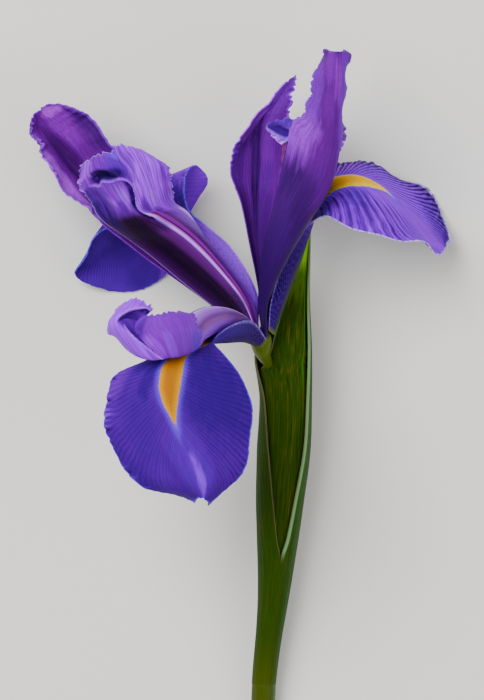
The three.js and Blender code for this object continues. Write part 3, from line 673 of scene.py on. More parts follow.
class Number:
    """A number that a finish works out; arithmetic on it adds Math nodes."""

    def __init__(self, finish, socket):
        self.finish = finish
        self.socket = socket

    def maths(self, operation, *values):
        values = dict(enumerate(values))
        return self.finish.number("ShaderNodeMath", {"operation": operation}, values)

    __add__, __radd__ = arithmetic("ADD"), arithmetic("ADD", True)
    __sub__, __rsub__ = arithmetic("SUBTRACT"), arithmetic("SUBTRACT", True)
    __mul__, __rmul__ = arithmetic("MULTIPLY"), arithmetic("MULTIPLY", True)
    __truediv__, __pow__ = arithmetic("DIVIDE"), arithmetic("POWER")

    def __neg__(self):
        return self * -1

    def __abs__(self):
        return self.maths("ABSOLUTE", self)

    def smooth(self, low, high):
        values = {"Value": self, "From Min": low, "From Max": high}
        kind = {"interpolation_type": "SMOOTHSTEP"}
        return self.finish.number("ShaderNodeMapRange", kind, values)

    def lines(self, sharp=1.0):
        """Even lines, one for each whole number that this one passes; sharp thins them."""
        turn = self * (2 * math.pi)
        return (turn.maths("SINE", turn) * 0.5 + 0.5) ** sharp

    def band(self, middle, half_width):
        """1 where the number is at the middle, fading to 0 at half a width from it."""
        return 1 - abs(self - middle).smooth(0, half_width)


class Finish:
    """A surface finish: one material, its shader, and the colours laid over each other in it."""

    def __init__(self, name, roughness, gloss=0.25, tint=(1, 1, 1), coat=0.0):
        self.material = bpy.data.materials.new(name)
        self.material.use_nodes = True
        self.tree = self.material.node_tree
        self.shader = self.tree.nodes["Principled BSDF"]
        self.ground = None
        self.feed(self.shader.inputs["Roughness"], roughness)
        self.feed(self.shader.inputs["Coat Weight"], coat)
        self.feed(self.shader.inputs["Specular IOR Level"], gloss)
        self.feed(self.shader.inputs["Specular Tint"], tint)

    def node(self, kind, settings, values):
        """Adds a node: its settings are made first, and then its sockets get values or links."""
        made = self.tree.nodes.new(kind)
        for name, setting in settings.items():
            if name == "stops":
                self.set_stops(made.color_ramp, setting)
            else:
                setattr(made, name, setting)
        for name, value in values.items():
            self.feed(made.inputs[name], value)
        return made

    def number(self, kind, settings, values, output=0):
        return Number(self, self.node(kind, settings, values).outputs[output])

    def feed(self, socket, value):
        if isinstance(value, Number):
            value = value.socket
        if isinstance(value, bpy.types.NodeSocket):
            self.tree.links.new(value, socket)
        elif socket.type == "RGBA":
            socket.default_value = (*value[:3], 1)
        else:
            socket.default_value = value

    def set_stops(self, ramp, stops):
        """Stops of a ramp: (place, colour) pairs, or colours at even places."""
        ramp.interpolation = "EASE"
        while len(ramp.elements) < len(stops):
            ramp.elements.new(0.5)
        for i, (element, stop) in enumerate(zip(ramp.elements, stops)):
            place, colour = stop if len(stop) == 2 else (i / (len(stops) - 1), stop)
            element.position = place
            element.color = (*colour[:3], 1)

    def field(self, name):
        return self.number("ShaderNodeAttribute", {"attribute_name": name}, {}, "Fac")

    def uv(self):
        """Share across (-1 to 1) and along (0 to 1)."""
        made = self.node("ShaderNodeUVMap", {}, {})
        parts = self.node("ShaderNodeSeparateXYZ", {}, {0: made.outputs[0]})
        return Number(self, parts.outputs[0]) * 2 - 1, Number(self, parts.outputs[1])

    def place(self):
        """Object coordinates, in metres."""
        return self.node("ShaderNodeTexCoord", {}, {}).outputs["Object"]

    def noise(self, where, scale, detail, roughness=0.5):
        """Noise at a place, or over a pair of numbers."""
        if isinstance(where, tuple):
            where = self.node("ShaderNodeCombineXYZ", {}, dict(enumerate(where))).outputs[0]
        values = {"Vector": where, "Scale": scale, "Detail": detail, "Roughness": roughness}
        return self.number("ShaderNodeTexNoise", {}, values)

    def mix(self, share, first, second):
        """A colour between two; the node's sockets for colours are the numbers 6, 7 and 2."""
        values = {0: share, 6: first, 7: second}
        return self.node("ShaderNodeMix", {"data_type": "RGBA"}, values).outputs[2]

    def ramp(self, value, stops):
        return self.node("ShaderNodeValToRGB", {"stops": stops}, {0: value}).outputs[0]

    def lay(self, share, colour):
        """Lays a colour over those before it, by a share."""
        self.ground = self.mix(share, self.ground, colour)

    def lay_patches(self, across, along, patches):
        """Soft ragged patches of the petal's own tone and of painted light and shade: across,
        along, their two sizes, colour, strength and slant.
        """
        ragged = (self.noise((across * 7, along * 9), 1.5, 3.0) - 0.5) * 1.1
        for at_across, at_along, wide, long, colour, strength, *slant in patches:
            sideways, lengthwise = across - at_across, along - at_along
            if slant:
                sideways = sideways - lengthwise * slant[0]
            far = (sideways / wide) ** 2 + (lengthwise / long) ** 2 + ragged
            self.lay((1 - far.smooth(0, 1)) * strength, colour)

    def skin(self, height, strength, distance):
        """Feeds the colour and a bump of that height to the shader."""
        self.feed(self.shader.inputs["Base Color"], self.ground)
        values = {"Strength": strength, "Distance": distance, "Height": height}
        bump = self.node("ShaderNodeBump", {}, values)
        self.feed(self.shader.inputs["Normal"], bump.outputs[0])
        return self.material


def fall_veins(finish, across, along, place, count):
    """Veins that leave the midrib at a slant and fan out to the margin of a fall.

    Gives the veins, with a net on the haft, the bare even lines that they follow, and broad
    soft lines between them.
    """
    out = abs(across)
    bent = out**0.7
    start = (along + 0.25 * bent) / (1 + 0.9 * bent)
    bend = finish.noise(place, 60, 1.0) - 0.5
    wander = finish.noise((across * 5, along * 3), 2.0, 2.0) - 0.5
    bold = finish.noise((start * 60, across * 2), 1.5, 2.0).smooth(0.3, 0.62)
    comb = (start * count + bend * 1.3 + wander * 0.5).lines(1.6)
    forks = (start * (count * 1.9) + bend * 2.5 + wander * 3).lines(2.0)
    fan = comb**1.5 * (0.25 + 0.75 * bold) * 0.8 + forks * 0.3 * out.smooth(0.25, 0.7)
    ridges = (along * 62 - out * 7 + bend * 5 + wander * 4).lines(2.2)
    net = finish.noise(place, 2200, 2.0).smooth(0.42, 0.6) * 0.3 + ridges * 0.7
    soft = (start * (count * 0.54) + bend * 0.5 + wander * 0.3).lines(1.3)
    return net + (fan - net) * along.smooth(0.26, 0.4), comb, soft * (0.5 + 0.5 * bold)


def fall_face(name, colours, look):
    """Inner face of a fall: veined violet, a pale halo round the yellow signal, a blue line of
    painted rim light, and painted shade in the grooves and painted highlights on the crests of its
    frilled margin.
    """
    finish = Finish(name, roughness=0.6, gloss=0.05, tint=VIOLET_SHEEN)
    lay, (across, along), place = finish.lay, finish.uv(), finish.place()
    edge, yellow, pleat = (finish.field(field) for field in ("edge", "yellow", "pleat"))
    veins, comb, broad = fall_veins(finish, across, along, place, look.veins)
    cloud = finish.noise(place, 90, 3.0)
    haft = 1 - along.smooth(*HAFT_END)
    finish.ground = finish.ramp(0.5 + (cloud - 0.5) * 1.1, look.ground)
    lay(haft, look.haft)
    finish.lay_patches(across, along, look.patches)
    lay(veins * (1 - haft) * look.contrast, look.vein)
    lay(veins * haft * 0.3, look.haft_net)
    near_half = (1 - across.smooth(-0.4, -0.1)) * along.smooth(0.3, 0.42)
    lay(broad * near_half * (1 - along.smooth(0.72, 0.9)) * look.broad, look.vein)
    # Dark lines along the veins of the far half, partly the veins' own colour and near the margin
    # painted shade in the grooves of its crimps; more painted shade where the frill dips, and a
    # painted highlight on its crests
    near_margin = (1 - edge.smooth(*look.groove_reach)) * along.smooth(0.3, 0.45)
    dark_lines = comb.smooth(0.2, 0.6) * (0.3 + 0.7 * near_margin) * across.smooth(0.1, 0.3)
    lay(dark_lines * look.dark_lines, look.groove)
    lay((-pleat).smooth(0.02, 0.45) * near_margin * look.grooves, look.groove)
    lay(pleat.smooth(0.1, 0.6) * look.crests, look.light)
    seen = edge * (1 - across.smooth(0.2, 0.6) * look.turned_away)
    # Painted shade: a dark band, lined like the grooves, along the margin where it turns away
    band = (1 - seen.smooth(0.5, 1.3)) * across.smooth(0.2, 0.4) * along.smooth(0.3, 0.42)
    lay(band * (0.5 + 0.5 * comb) * look.dark_band, look.groove)
    # Painted rim light: a dotted pale line along the margin as it is seen
    dots = finish.noise(place, 1500, 1.0).smooth(0.35, 0.6)
    rim = (1 - seen.smooth(0.05, 0.4)) * along.smooth(0.28, 0.4) * (0.3 + 0.7 * dots)
    lay(rim * look.rim, look.rim_colour)
    wobble = (finish.noise(place, 1100, 2.0) - 0.5) * 0.5
    halo = (yellow + comb * 0.5 + wobble).smooth(-look.halo, 0.15) ** 2.0
    lay(halo * look.halo_strength, colours.halo)
    lay((yellow + wobble * 0.5).band(-0.1, 0.25) * look.outline, colours.rim_light_and_outline)
    lit = (yellow + wobble).smooth(-0.12, 0.14)
    depth = (yellow + wobble * 0.6).smooth(0.1, 1.9)
    fur = finish.noise((across * 40, along * 16), 3.0, 2.0)
    specks = finish.noise(place, 2400, 1.0).smooth(0.45, 0.7)
    shaded = 1 - along.smooth(*look.signal_shade)
    gold = finish.mix(depth, look.gold, look.orange)
    gold = finish.mix((fur - 0.4).smooth(0, 0.5) * 0.3, gold, colours.signal_shade)
    gold = finish.mix(specks * 0.35, gold, look.orange)
    lay(lit, finish.mix(shaded * 0.75, gold, colours.signal_shade))
    cells = finish.noise(place, CELLS, 1.0)
    return finish.skin(cells * 0.22 - veins * 0.5 + lit * fur * 0.8 + cloud * 0.6, 0.55, 0.00022)


def fall_back(name, colours, look):
    """Underside of a fall: smooth and blue, its haft darker, with a fine net and a pale line of
    painted rim light.
    """
    finish = Finish(name, roughness=0.6, gloss=0.05, tint=VIOLET_SHEEN)
    lay, (across, along), place = finish.lay, finish.uv(), finish.place()
    edge = finish.field("edge")
    veins, comb, _ = fall_veins(finish, across, along, place, look.veins)
    cloud = finish.noise(place, 70, 3.0)
    haft = 1 - along.smooth(*HAFT_END)
    finish.ground = finish.mix((cloud - 0.3).smooth(0, 0.5), look.back_deep, look.back_bright)
    lay(haft, look.haft)
    finish.lay_patches(across, along, look.back_patches)
    lay(veins * (1 - haft) * look.contrast * 0.6, look.vein)
    lay((1 - comb).smooth(0.5, 1) * (1 - haft) * 0.08, look.light)
    lay(veins * haft * 0.45, look.haft_net)
    # Painted rim light: a dotted pale line along the margin, paler on the haft
    rim_colour = finish.mix(haft * 0.5, colours.fall_rim_light, colours.rim_light_and_outline)
    dots = finish.noise(place, 1700, 1.0).smooth(0.35, 0.6)
    lay((1 - edge.smooth(0.02, 0.28)) * (0.25 + 0.5 * dots), rim_colour)
    midline = (1 - abs(across).smooth(0.1, 0.5)) * (1 - along.smooth(0.25, 0.42))
    lay(midline * 0.9, colours.haft_green)
    lay(1 - along.smooth(0.0, 0.02), colours.foot)
    cells = finish.noise(place, 4800, 1.0)
    return finish.skin(veins * (look.contrast * -0.5) + cells * 0.2 + cloud * 0.5, 0.45, 0.0002)


def standard_back(name, colours, look):
    return standard_face(name, colours, look, back=True)


def standard_face(name, colours, look, back=False):
    """A standard: red-violet with long fine veins, a dark claw, and a frilled margin with painted
    shade in its dips, painted highlights on its crests and a line of painted rim light.
    """
    finish = Finish(name, roughness=0.5, gloss=0.3, tint=VIOLET_SHEEN)
    lay, (across, along), place = finish.lay, finish.uv(), finish.place()
    edge, pleat = finish.field("edge"), finish.field("pleat")
    cloud = finish.noise(place, 80, 3.0)
    wander = finish.noise((across * 3, along * 5), 1.6, 2.0) - 0.5
    spread = across * (0.65 + along * 0.35)
    bold = finish.noise(place, 150, 2.0).smooth(0.35, 0.65)
    veins = (spread * 14 + wander * 3).lines(2.0) * (0.2 + 0.8 * bold)
    fine = (spread * 41 + wander * 6).lines(1.6)
    finish.ground = finish.ramp(0.5 + (cloud - 0.5) * 1.2, look.ground)
    lay(1 - along.smooth(*look.claw), colours.claw)
    finish.lay_patches(across, along, look.patches)
    lay(veins * 0.3 + fine * 0.24, look.vein)
    lay((finish.noise(place, 1800, 2.0) - 0.4).smooth(0, 0.2) * 0.15, look.vein)
    midrib = (across - look.fold).band(0, 0.08) * along.smooth(0.1, 0.3)
    lay(midrib * look.midrib, look.vein)
    # Painted shade where the frill dips near the margin, and a painted highlight on its crests
    grooves = (-pleat).smooth(0.05, 0.6) * (1 - edge.smooth(2, 6))
    lay(grooves * look.grooves, look.vein)
    lay(pleat.smooth(0.1, 0.7) * 0.5, look.light)
    # Painted rim light: a thin lighter line along the margin
    rim = (1 - edge.smooth(0.06, 0.4)) * along.smooth(0.3, 0.6)
    lay(rim * 0.55, colours.standard_rim_light)
    if back:
        lay(0.3, look.vein)
    cells = finish.noise(place, CELLS, 1.0)
    height = cells * 0.2 + cloud * 0.6 - veins * 0.4 - fine * 0.25 - midrib * 0.8
    return finish.skin(height, 0.6, 0.00025)


def style_skin(name, colours, look, inner=False):
    """A style flap, on both faces: bands beside the keel, a dark flank and a striped crest, with
    painted shade in the hollows beside a rolled lip, painted highlights on the roll and on the
    frill's crests, and painted rim light along the margin.
    """
    finish = Finish(name, roughness=0.48, gloss=0.15, tint=VIOLET_SHEEN)
    lay, (across, along), place = finish.lay, finish.uv(), finish.place()
    edge, pleat, roll, hollow = map(finish.field, ("edge", "pleat", "roll", "hollow"))
    cloud = finish.noise(place, 110, 3.0)
    wander = finish.noise((across * 1.5, along * 3), 1.5, 1.0) - 0.5
    bold = finish.noise(place, 220, 2.0).smooth(0.3, 0.65)
    striae = (across * 9 + along * 3 + wander * 2.0).lines(2.2) * bold
    fine = (across * 27 + along * 6 + wander * 4).lines(1.6)
    broad = (across * 4.4 + along * 1.2 + wander * 3).lines(1.5)
    finish.ground = finish.ramp((across + 1.1) / 2.1 + (cloud - 0.5) * 0.015, look.flank)
    if inner:
        lay(0.5, colours.flank)
    lay(striae * 0.15 + fine * 0.12, look.stripe)
    crest = (along + (cloud - 0.5) * 0.05).smooth(*look.crest_start)
    lay(crest, finish.ramp(0.5 + (cloud - 0.5) * 1.2, look.crest))
    finish.lay_patches(across, along, look.patches)
    lay((striae * 0.5 + fine * 0.06 + broad * 0.45) * crest * look.veined, look.crest_vein)
    # Painted highlight on the frill's crests
    lay(pleat.smooth(0.1, 0.7) * 0.5, look.light)
    # Painted shade in the hollows beside a rolled lip, and a painted highlight along the roll
    crinkle = finish.noise(place, 420, 3.0).smooth(0.3, 0.65)
    lay(hollow.smooth(0.0, 0.5) * (0.7 + 0.3 * crinkle), look.hollow)
    lay(roll * 0.7, look.roll)
    keel_line = across.band(-0.765, 0.03) * (1 - along.smooth(*look.crest_start))
    lay(keel_line * look.keel_line, look.keel_line_colour)
    # Painted rim light: a thin pale line along the margin
    lay((1 - edge.smooth(0.05, 0.3)) * look.rim, colours.rim_light_and_outline)
    cells = finish.noise(place, CELLS, 1.0)
    return finish.skin(cells * 0.2 + cloud * 0.6 - striae * 0.35 - fine * 0.1, 0.5, 0.00022)


def bract_skin(name, colours, look, lining=False):
    """A bract: green with fine lengthwise lines, mottled streaks, a brighter band down one side
    that on the outer bract is painted light, a bright spot of painted light on the inner one's
    margin, and a silvery margin.
    """
    finish = Finish(name, roughness=0.5, gloss=0.14, tint=GREEN_SHEEN, coat=0.02)
    lay, (across, along) = finish.lay, finish.uv()
    edge, angle = finish.field("edge"), finish.field("angle")
    stretched = (angle * 12, along * 9)
    mottle = finish.noise(stretched, 1.0, 4.0, 0.65)
    streak = finish.noise((angle * 20, along * 5), 1.5, 3.0, 0.6)
    ribs = (angle * 22 + (mottle - 0.5) * 1.5).lines(1.6)
    finish.ground = finish.ramp(along + (mottle - 0.5) * 0.1, look.along)
    low = 1 - along.smooth(0.84, 0.94)
    lay((streak - 0.48).smooth(0, 0.25) * 0.55 * low, colours.bract_dark)
    lay((mottle - 0.5).smooth(0, 0.22) * look.mottle * low, colours.bract_brown)
    lay((0.44 - mottle).smooth(0, 0.1) * look.mottle * low, colours.bract_dark)
    lay(ribs * 0.16, colours.bract_light)
    # A brighter band down one side: on the outer bract painted light along its lit side, on the
    # inner bract a bright green line beside its margin
    shift = (1 - along.smooth(0.5, 0.75)) * look.vivid_shift
    vivid = (angle - shift).band(look.vivid_at, look.vivid_wide)
    lay(vivid * along.smooth(*look.vivid_from) * look.vivid, look.vivid_green)
    # Painted highlight: a bright spot on the margin
    glow = (1 - edge.smooth(0.2, 0.7)) * along.band(0.74, 0.07)
    lay(glow * look.glow, colours.bract_glow)
    opened = along.smooth(*look.open)
    band = 1 - (edge + (streak - 0.5) * 0.25).smooth(look.margin * 0.6, look.margin)
    lay(band * opened * across.smooth(-0.3, 0.3) * 0.8, colours.bract_margin)
    lay((1 - edge.smooth(0.08, 0.25)) * opened * look.dry, colours.bract_dry)
    if lining:
        lay(0.45, colours.tube)
    cells = finish.noise(stretched, 30, 2.0)
    return finish.skin(ribs * 0.5 + streak * 0.5 + cells * 0.25, 0.5, 0.0002)


def stem_skin(colours):
    """The stem: yellow-green with fine lengthwise lines, and painted light along one side."""
    finish = Finish("StemSkin", roughness=0.42, gloss=0.25, tint=GREEN_SHEEN, coat=0.04)
    along, angle = finish.field("along"), finish.field("angle")
    where = (angle * 3, along * 7)
    lines = (angle * 4.3 + finish.noise(where, 1.2, 2.0) * 1.5).lines(1.5)
    mottle = finish.noise(where, 3.0, 4.0)
    finish.ground = finish.mix(lines * 0.25, colours.stem_foot, colours.stem)
    finish.lay((mottle - 0.5).smooth(0, 0.3) * 0.3, colours.bract_brown)
    # Painted light along one side
    finish.lay(angle.band(0.5, 0.4) * 0.7, colours.bract_side)
    return finish.skin(lines * 0.6 + mottle * 0.5, 0.5, 0.0002)


def tube_skin(colours):
    """The tube under the flower: yellow-green, turning to brownish orange under the petals."""
    finish = Finish("TubeSkin", roughness=0.4, gloss=0.3, tint=GREEN_SHEEN, coat=0.05)
    along, angle = finish.field("along"), finish.field("angle")
    mottle = finish.noise(finish.place(), 500, 3.0)
    lines = (angle * 3.2 + mottle).lines(1.5)
    green, yellow, tint = colours.bract, colours.tube, colours.tube_tint
    stops = [(0, green), (0.45, yellow), (0.85, yellow), (1, tint)]
    finish.ground = finish.ramp(along + (mottle - 0.5) * 0.15, stops)
    finish.lay(lines * 0.3, green)
    return finish.skin(lines * 0.5 + mottle * 0.5, 0.4, 0.0002)


def stamen_skin(colours):
    """A filament, and the powdery anther at its end."""
    finish = Finish("StamenSkin", roughness=0.7)
    grain = finish.noise(finish.place(), 2600, 3.0)
    stops = [(0, colours.filament), (0.6, colours.filament), (0.68, colours.anther)]
    finish.ground = finish.ramp(finish.field("along") + (grain - 0.5) * 0.05, stops)
    finish.lay((grain - 0.45).smooth(0, 0.3) * 0.4, colours.anther_shade)
    return finish.skin(grain, 0.6, 0.0003)


# Sizes and colours that a user would change


def colour_property(name, description, code):
    return bpy.props.FloatVectorProperty(
        name=name,
        description=description,
        default=hex_colour(code),
        subtype="COLOR",
        size=3,
        min=0,
        max=1,
    )


def length_property(name, description, millimetres):
    return bpy.props.FloatProperty(
        name=name,
        description=description,
        default=millimetres * MM,
        min=0,
        subtype="DISTANCE",
        unit="LENGTH",
        precision=4,
    )


class IrisPetalSettings(bpy.types.PropertyGroup):
    thickness: length_property("Thickness", "Thickness of petals and style arms", 0.35)
    frill: bpy.props.FloatProperty(
        name="Frill", description="Strength of the margins' fine frills", default=1.0, min=0, max=3
    )
    # Colour of the painted rim light, a pale blue line along a fall's margin
    fall_rim_light: colour_property("Fall rim", "Pale blue rim of a fall", "#5c30d8")
    haft_green: colour_property("Haft underside", "Midline under a fall's haft", "#3c3e34")
    foot: colour_property("Foot", "Yellow-green foot of a fall", "#5b6705")
    halo: colour_property("Halo", "Pale halo round the signal", "#5c38d4")
    signal_shade: colour_property("Signal shade", "Shade at the signal's foot", "#7b4100")
    claw: colour_property("Claw", "Dark base of a standard", "#18003c")
    # Colour of the painted rim light along a standard's frilled margin
    standard_rim_light: colour_property("Standard rim", "Frilled margin of a standard", "#8c28ec")
    flank: colour_property("Flank", "Side of a style arm", "#350055")
    anther_shade: colour_property("Anther shade", "Dark grains on a stamen", "#50069d")
    # Painted rim light along the margins of the style arms and of the falls' hafts; the same pale
    # colour outlines the signals
    rim_light_and_outline: colour_property("Style margin", "Thin pale margin of a style arm", "#b49ceb")
    filament: colour_property("Filament", "Stalk of a stamen", "#a58fba")
    anther: colour_property("Anther", "Powdery end of a stamen", "#b3a88f")


class IrisGreenSettings(bpy.types.PropertyGroup):
    bract_thickness: length_property("Bract thickness", "Thickness of the two bracts", 0.4)
    bract: colour_property("Bract", "Main green of the bracts", "#1e3800")
    bract_dark: colour_property("Bract shade", "Dark streaks of the bracts", "#0b1a00")
    bract_light: colour_property("Bract lines", "Light lengthwise lines", "#466e04")
    bract_tip: colour_property("Bract tip", "Yellow-green near the tips", "#8cd008")
    bract_bright: colour_property("Bract light", "Bright line beside the margin", "#2c8004")
    bract_side: colour_property("Bract side", "Side of a bract and stem in the light", "#27501c")
    # Colour of the painted highlight, a bright spot on a bract's margin
    bract_glow: colour_property("Bract glow", "Bright spot on a bract's margin", "#5cc008")
    bract_brown: colour_property("Bract mottling", "Yellow-brown mottling", "#584a04")
    bract_margin: colour_property("Bract margin", "Silvery margin of a bract", "#76a86c")
    bract_dry: colour_property("Dry edge", "Thin dry edge of a bract", "#806b55")
    stem: colour_property("Stem", "Stem above its foot", "#1e3600")
    stem_foot: colour_property("Stem foot", "Stem at its cut end", "#353f00")
    tube: colour_property("Tube", "Tube under the petals", "#4e5c00")
    tube_tint: colour_property("Tube tint", "Warm tint right under the petals", "#565408")


class IrisStageSettings(bpy.types.PropertyGroup):
    floor: colour_property("Floor", "Pale floor", "#dddbd6")
    key_power: bpy.props.FloatProperty(
        name="Key light", description="Power of the main soft light", default=34, subtype="POWER"
    )
    fill_power: bpy.props.FloatProperty(
        name="Fill light", description="Power of the second soft light", default=9, subtype="POWER"
    )
    sky: bpy.props.FloatProperty(
        name="Room light", description="Strength of the even light all round", default=0.48, min=0
    )
    camera_height: length_property("Camera height", "Height of the camera above the surface", 2532)
    lens: bpy.props.FloatProperty(
        name="Lens",
        description="Focal length of the camera",
        default=514.29,
        subtype="DISTANCE_CAMERA",
        unit="CAMERA",
    )


# Looks of the petals. Colours are written as #rrggbb, and a ramp is a list of them, or of pairs
# with their places. A patch is (across, along, its size across, its size along, colour, strength)
# and, where it runs at a slant, how far across it moves for each length along. Patches lay the
# petals' own tones, and also painted light and shade: dark ones in creases, pockets and grooves,
# bright ones where a surface turned from the lamps is painted lit.

FALL_LOOK = dict(
    veins=88,
    ground=["#2e006e", "#450088", "#5700a8"],
    haft="#14002e",
    haft_net="#5810b4",
    patches=[],
    back_patches=[],
    # A light violet: a painted highlight on the frill's crests of the face, by the crests
    # strength, and laid faintly between the veins underneath
    light="#872fef",
    vein="#22005e",
    contrast=0.62,
    # Painted shade of the margin's grooves: its colour, the strengths of the grooves and of the
    # dark lines along the veins, and how far in from the margin they reach
    groove="#110035",
    grooves=0.85,
    dark_lines=0.15,
    groove_reach=(0.5, 4),
    # Painted rim light along the margin: its strength and its colour
    rim=0.9,
    rim_colour="#5a48e8",
    turned_away=0,
    dark_band=0,
    broad=0,
    crests=0.45,
    outline=0.12,
    halo=2.1,
    halo_strength=0.8,
    gold="#c88c00",
    orange="#a46400",
    signal_shade=(0.36, 0.5),
    back_deep="#2d006d",
    back_bright="#470092",
)
STANDARD_LOOK = dict(
    ground=["#400062", "#600086", "#7700a8"],
    vein="#240049",
    # Painted highlight on the frill's crests; grooves is the strength of the painted shade in its
    # dips
    light="#9c2ff9",
    grooves=0.45,
    claw=(0.12, 0.4),
    fold=0,
    midrib=0.4,
)
STYLE_LOOK = dict(
    flank=["#30004e", "#240040", "#34005c", "#4a0890"],
    stripe="#5e0c74",
    crest_start=(0.5, 0.62),
    patches=[],
    crest=["#6600b0", "#8a0cd8", "#a828f8"],
    crest_vein="#4a0090",
    veined=1,
    # Painted highlight on the frill's crests
    light="#b050f8",
    keel_line=0,
    keel_line_colour="#2c18a0",
    # Painted shade in the hollows beside a rolled lip, and a painted highlight along the roll
    hollow="#0c0038",
    roll="#9450f0",
    # Strength of the painted rim light along the margin
    rim=0.4,
)

FRONT_FALL_LOOK = dict(
    patches=[
        (0.62, 0.55, 0.7, 0.26, "#1e0062", 0.7),
        (-0.6, 0.42, 0.6, 0.07, "#210060", 0.7),
        (-0.93, 0.51, 0.25, 0.1, "#7820c0", 0.5),
        (-0.45, 0.66, 0.3, 0.16, "#330079", 0.5),
        (0.2, 0.92, 0.45, 0.3, "#5200ac", 0.75, 0.6),
        (0.26, 0.95, 0.14, 0.2, "#8c30ff", 0.85, 0.6),
        (-0.95, 0.84, 0.3, 0.14, "#2c0070", 0.5),
        (0.75, 0.12, 0.6, 0.12, "#2e006d", 0.6),
        (-0.38, 0.5, 0.16, 0.1, "#1c0060", 0.6),
    ],
    back_patches=[(0.9, 0.24, 0.4, 0.2, "#2e147b", 0.6)],
)
BACK_FALL_PATCHES = [
    # Painted light: a bright patch on the lobe that turns from the lamps
    (-0.9, 0.77, 0.35, 0.3, "#8d00ef", 0.85),
    (-0.75, 0.24, 0.5, 0.24, "#a048ff", 0.95),
]
BACK_FALL_LOOK = dict(
    ground=["#2a006d", "#3a007d", "#47008f"],
    contrast=0.35,
    haft="#500d9d",
    haft_net="#30087c",
    patches=BACK_FALL_PATCHES,
    back_bright="#480094",
    back_patches=[*BACK_FALL_PATCHES, (0.5, 0.7, 0.5, 0.12, "#5e1bba", 0.5)],
)
RIGHT_FALL_LOOK = dict(
    veins=74,
    ground=["#7400d8", "#9010ff", "#a830ff"],
    haft="#180038",
    haft_net="#5818c0",
    # Whitish painted rim light along the far margin
    rim_colour="#c8bcfc",
    broad=0.9,
    outline=0.6,
    vein="#34006c",
    light="#c470ff",
    crests=0.3,
    patches=[
        (-0.74, 0.585, 0.36, 0.09, "#30006c", 0.35, 2),
        (-0.9, 0.42, 0.3, 0.06, "#875eeb", 0.6),
        (-0.4, 0.56, 0.3, 0.08, "#4111ac", 0.6),
        (0.65, 0.5, 0.3, 0.1, "#a828ff", 0.9),
        (0, 0.92, 0.3, 0.18, "#9818fc", 0.75),
        (0.72, 0.9, 0.4, 0.14, "#5000b0", 0.7),
        # Painted shadow: a near-black line low on the haft
        (-0.9, 0.13, 0.3, 0.06, "#0a0020", 0.9),
    ],
    # Painted shadow: the near-black line low on the haft
    back_patches=[(-0.9, 0.13, 0.3, 0.06, "#0a0020", 0.9)],
    contrast=0.85,
    # Painted shade: strong dark grooves along the far margin, and a dark band where it turns away
    groove="#0d0033",
    grooves=0.45,
    dark_lines=0.9,
    groove_reach=(3, 9),
    turned_away=0.65,
    dark_band=0.85,
    rim=0.95,
    halo=1.3,
    halo_strength=0.9,
    gold="#ffd400",
    orange="#ffb800",
    signal_shade=(0.4, 0.52),
)

LEFT_STANDARD_LOOK = dict(
    grooves=0.85,
    patches=[
        (-0.5, 0.84, 0.35, 0.14, "#840db7", 0.7),
        # Painted shade in the crease that the fold at (-0.1, 0.68) presses in
        (-0.1, 0.68, 0.32, 0.26, "#2e0041", 0.9),
        (0.7, 0.66, 0.45, 0.36, "#c44cff", 0.9),
        (-0.93, 0.76, 0.3, 0.13, "#2c0050", 0.85),
        # Painted shade in the dip near the margin
        (-0.88, 0.86, 0.05, 0.08, "#22004c", 0.9),
        (-0.2, 0.95, 0.4, 0.08, "#550079", 0.5),
        (0.95, 0.36, 0.5, 0.2, "#7600b7", 0.7),
        (-0.6, 0.95, 0.4, 0.06, "#c040f8", 0.7),
        (0.16, 0.9, 0.12, 0.07, "#2c0040", 0.5),
    ],
)
FRONT_STANDARD_LOOK = dict(
    fold=0.06,
    midrib=0.35,
    claw=(0.18, 0.52),
    patches=[
        (-0.25, 0.3, 0.9, 0.16, "#2c0058", 0.6),
        # Painted shade under the raised shoulder, then a painted highlight on the shoulder itself
        (-0.8, 0.39, 0.4, 0.08, "#180038", 0.8),
        (-0.95, 0.52, 0.65, 0.14, "#b030fc", 0.9),
        (-0.85, 0.72, 0.35, 0.2, "#961fef", 0.6),
        (-0.35, 0.88, 0.4, 0.14, "#8c08c8", 0.8),
        (-0.25, 0.7, 0.3, 0.12, "#70009c", 0.7),
        (0.6, 0.74, 0.5, 0.36, "#8c04ec", 0.85),
        (0.2, 0.42, 0.4, 0.1, "#550076", 0.5),
        (-0.3, 0.35, 0.4, 0.07, "#180030", 0.75),
        (0.1, 0.3, 0.4, 0.06, "#140030", 0.6),
        (0.1, 0.8, 0.3, 0.12, "#b030e8", 0.6),
    ],
)
BACK_STANDARD_LOOK = dict(
    ground=["#47006d", "#5e0088", "#7400a5"],
    claw=(0.1, 0.42),
    patches=[
        # Painted shade in the groove that the fold along the middle presses in
        (0, 0.5, 0.22, 0.3, "#180040", 0.85),
        (0.32, 0.67, 0.16, 0.12, "#210052", 0.5, 2),
        # Painted light: bright patches where the turned-over upper part faces away from the lamps
        (0.85, 0.6, 0.35, 0.2, "#7d14c1", 0.6),
        (0.65, 0.84, 0.6, 0.24, "#b424ff", 0.95),
        (0.8, 0.72, 0.4, 0.12, "#d040f0", 0.95),
        (1, 0.87, 0.3, 0.16, "#e860ff", 0.95),
        (-0.15, 0.85, 0.4, 0.12, "#b010fc", 0.9),
        (-0.45, 0.6, 0.25, 0.3, "#6e03a1", 0.6),
        (-0.3, 0.33, 0.7, 0.14, "#280055", 0.6),
        (-0.4, 0.47, 0.3, 0.08, "#3c0078", 0.5),
        # Painted shade low in the middle groove
        (0.05, 0.42, 0.2, 0.08, "#10002c", 0.7),
        (-0.95, 0.54, 0.16, 0.2, "#943c80", 0.8),
        (-0.6, 0.85, 0.4, 0.14, "#7b1bc1", 0.5),
    ],
)

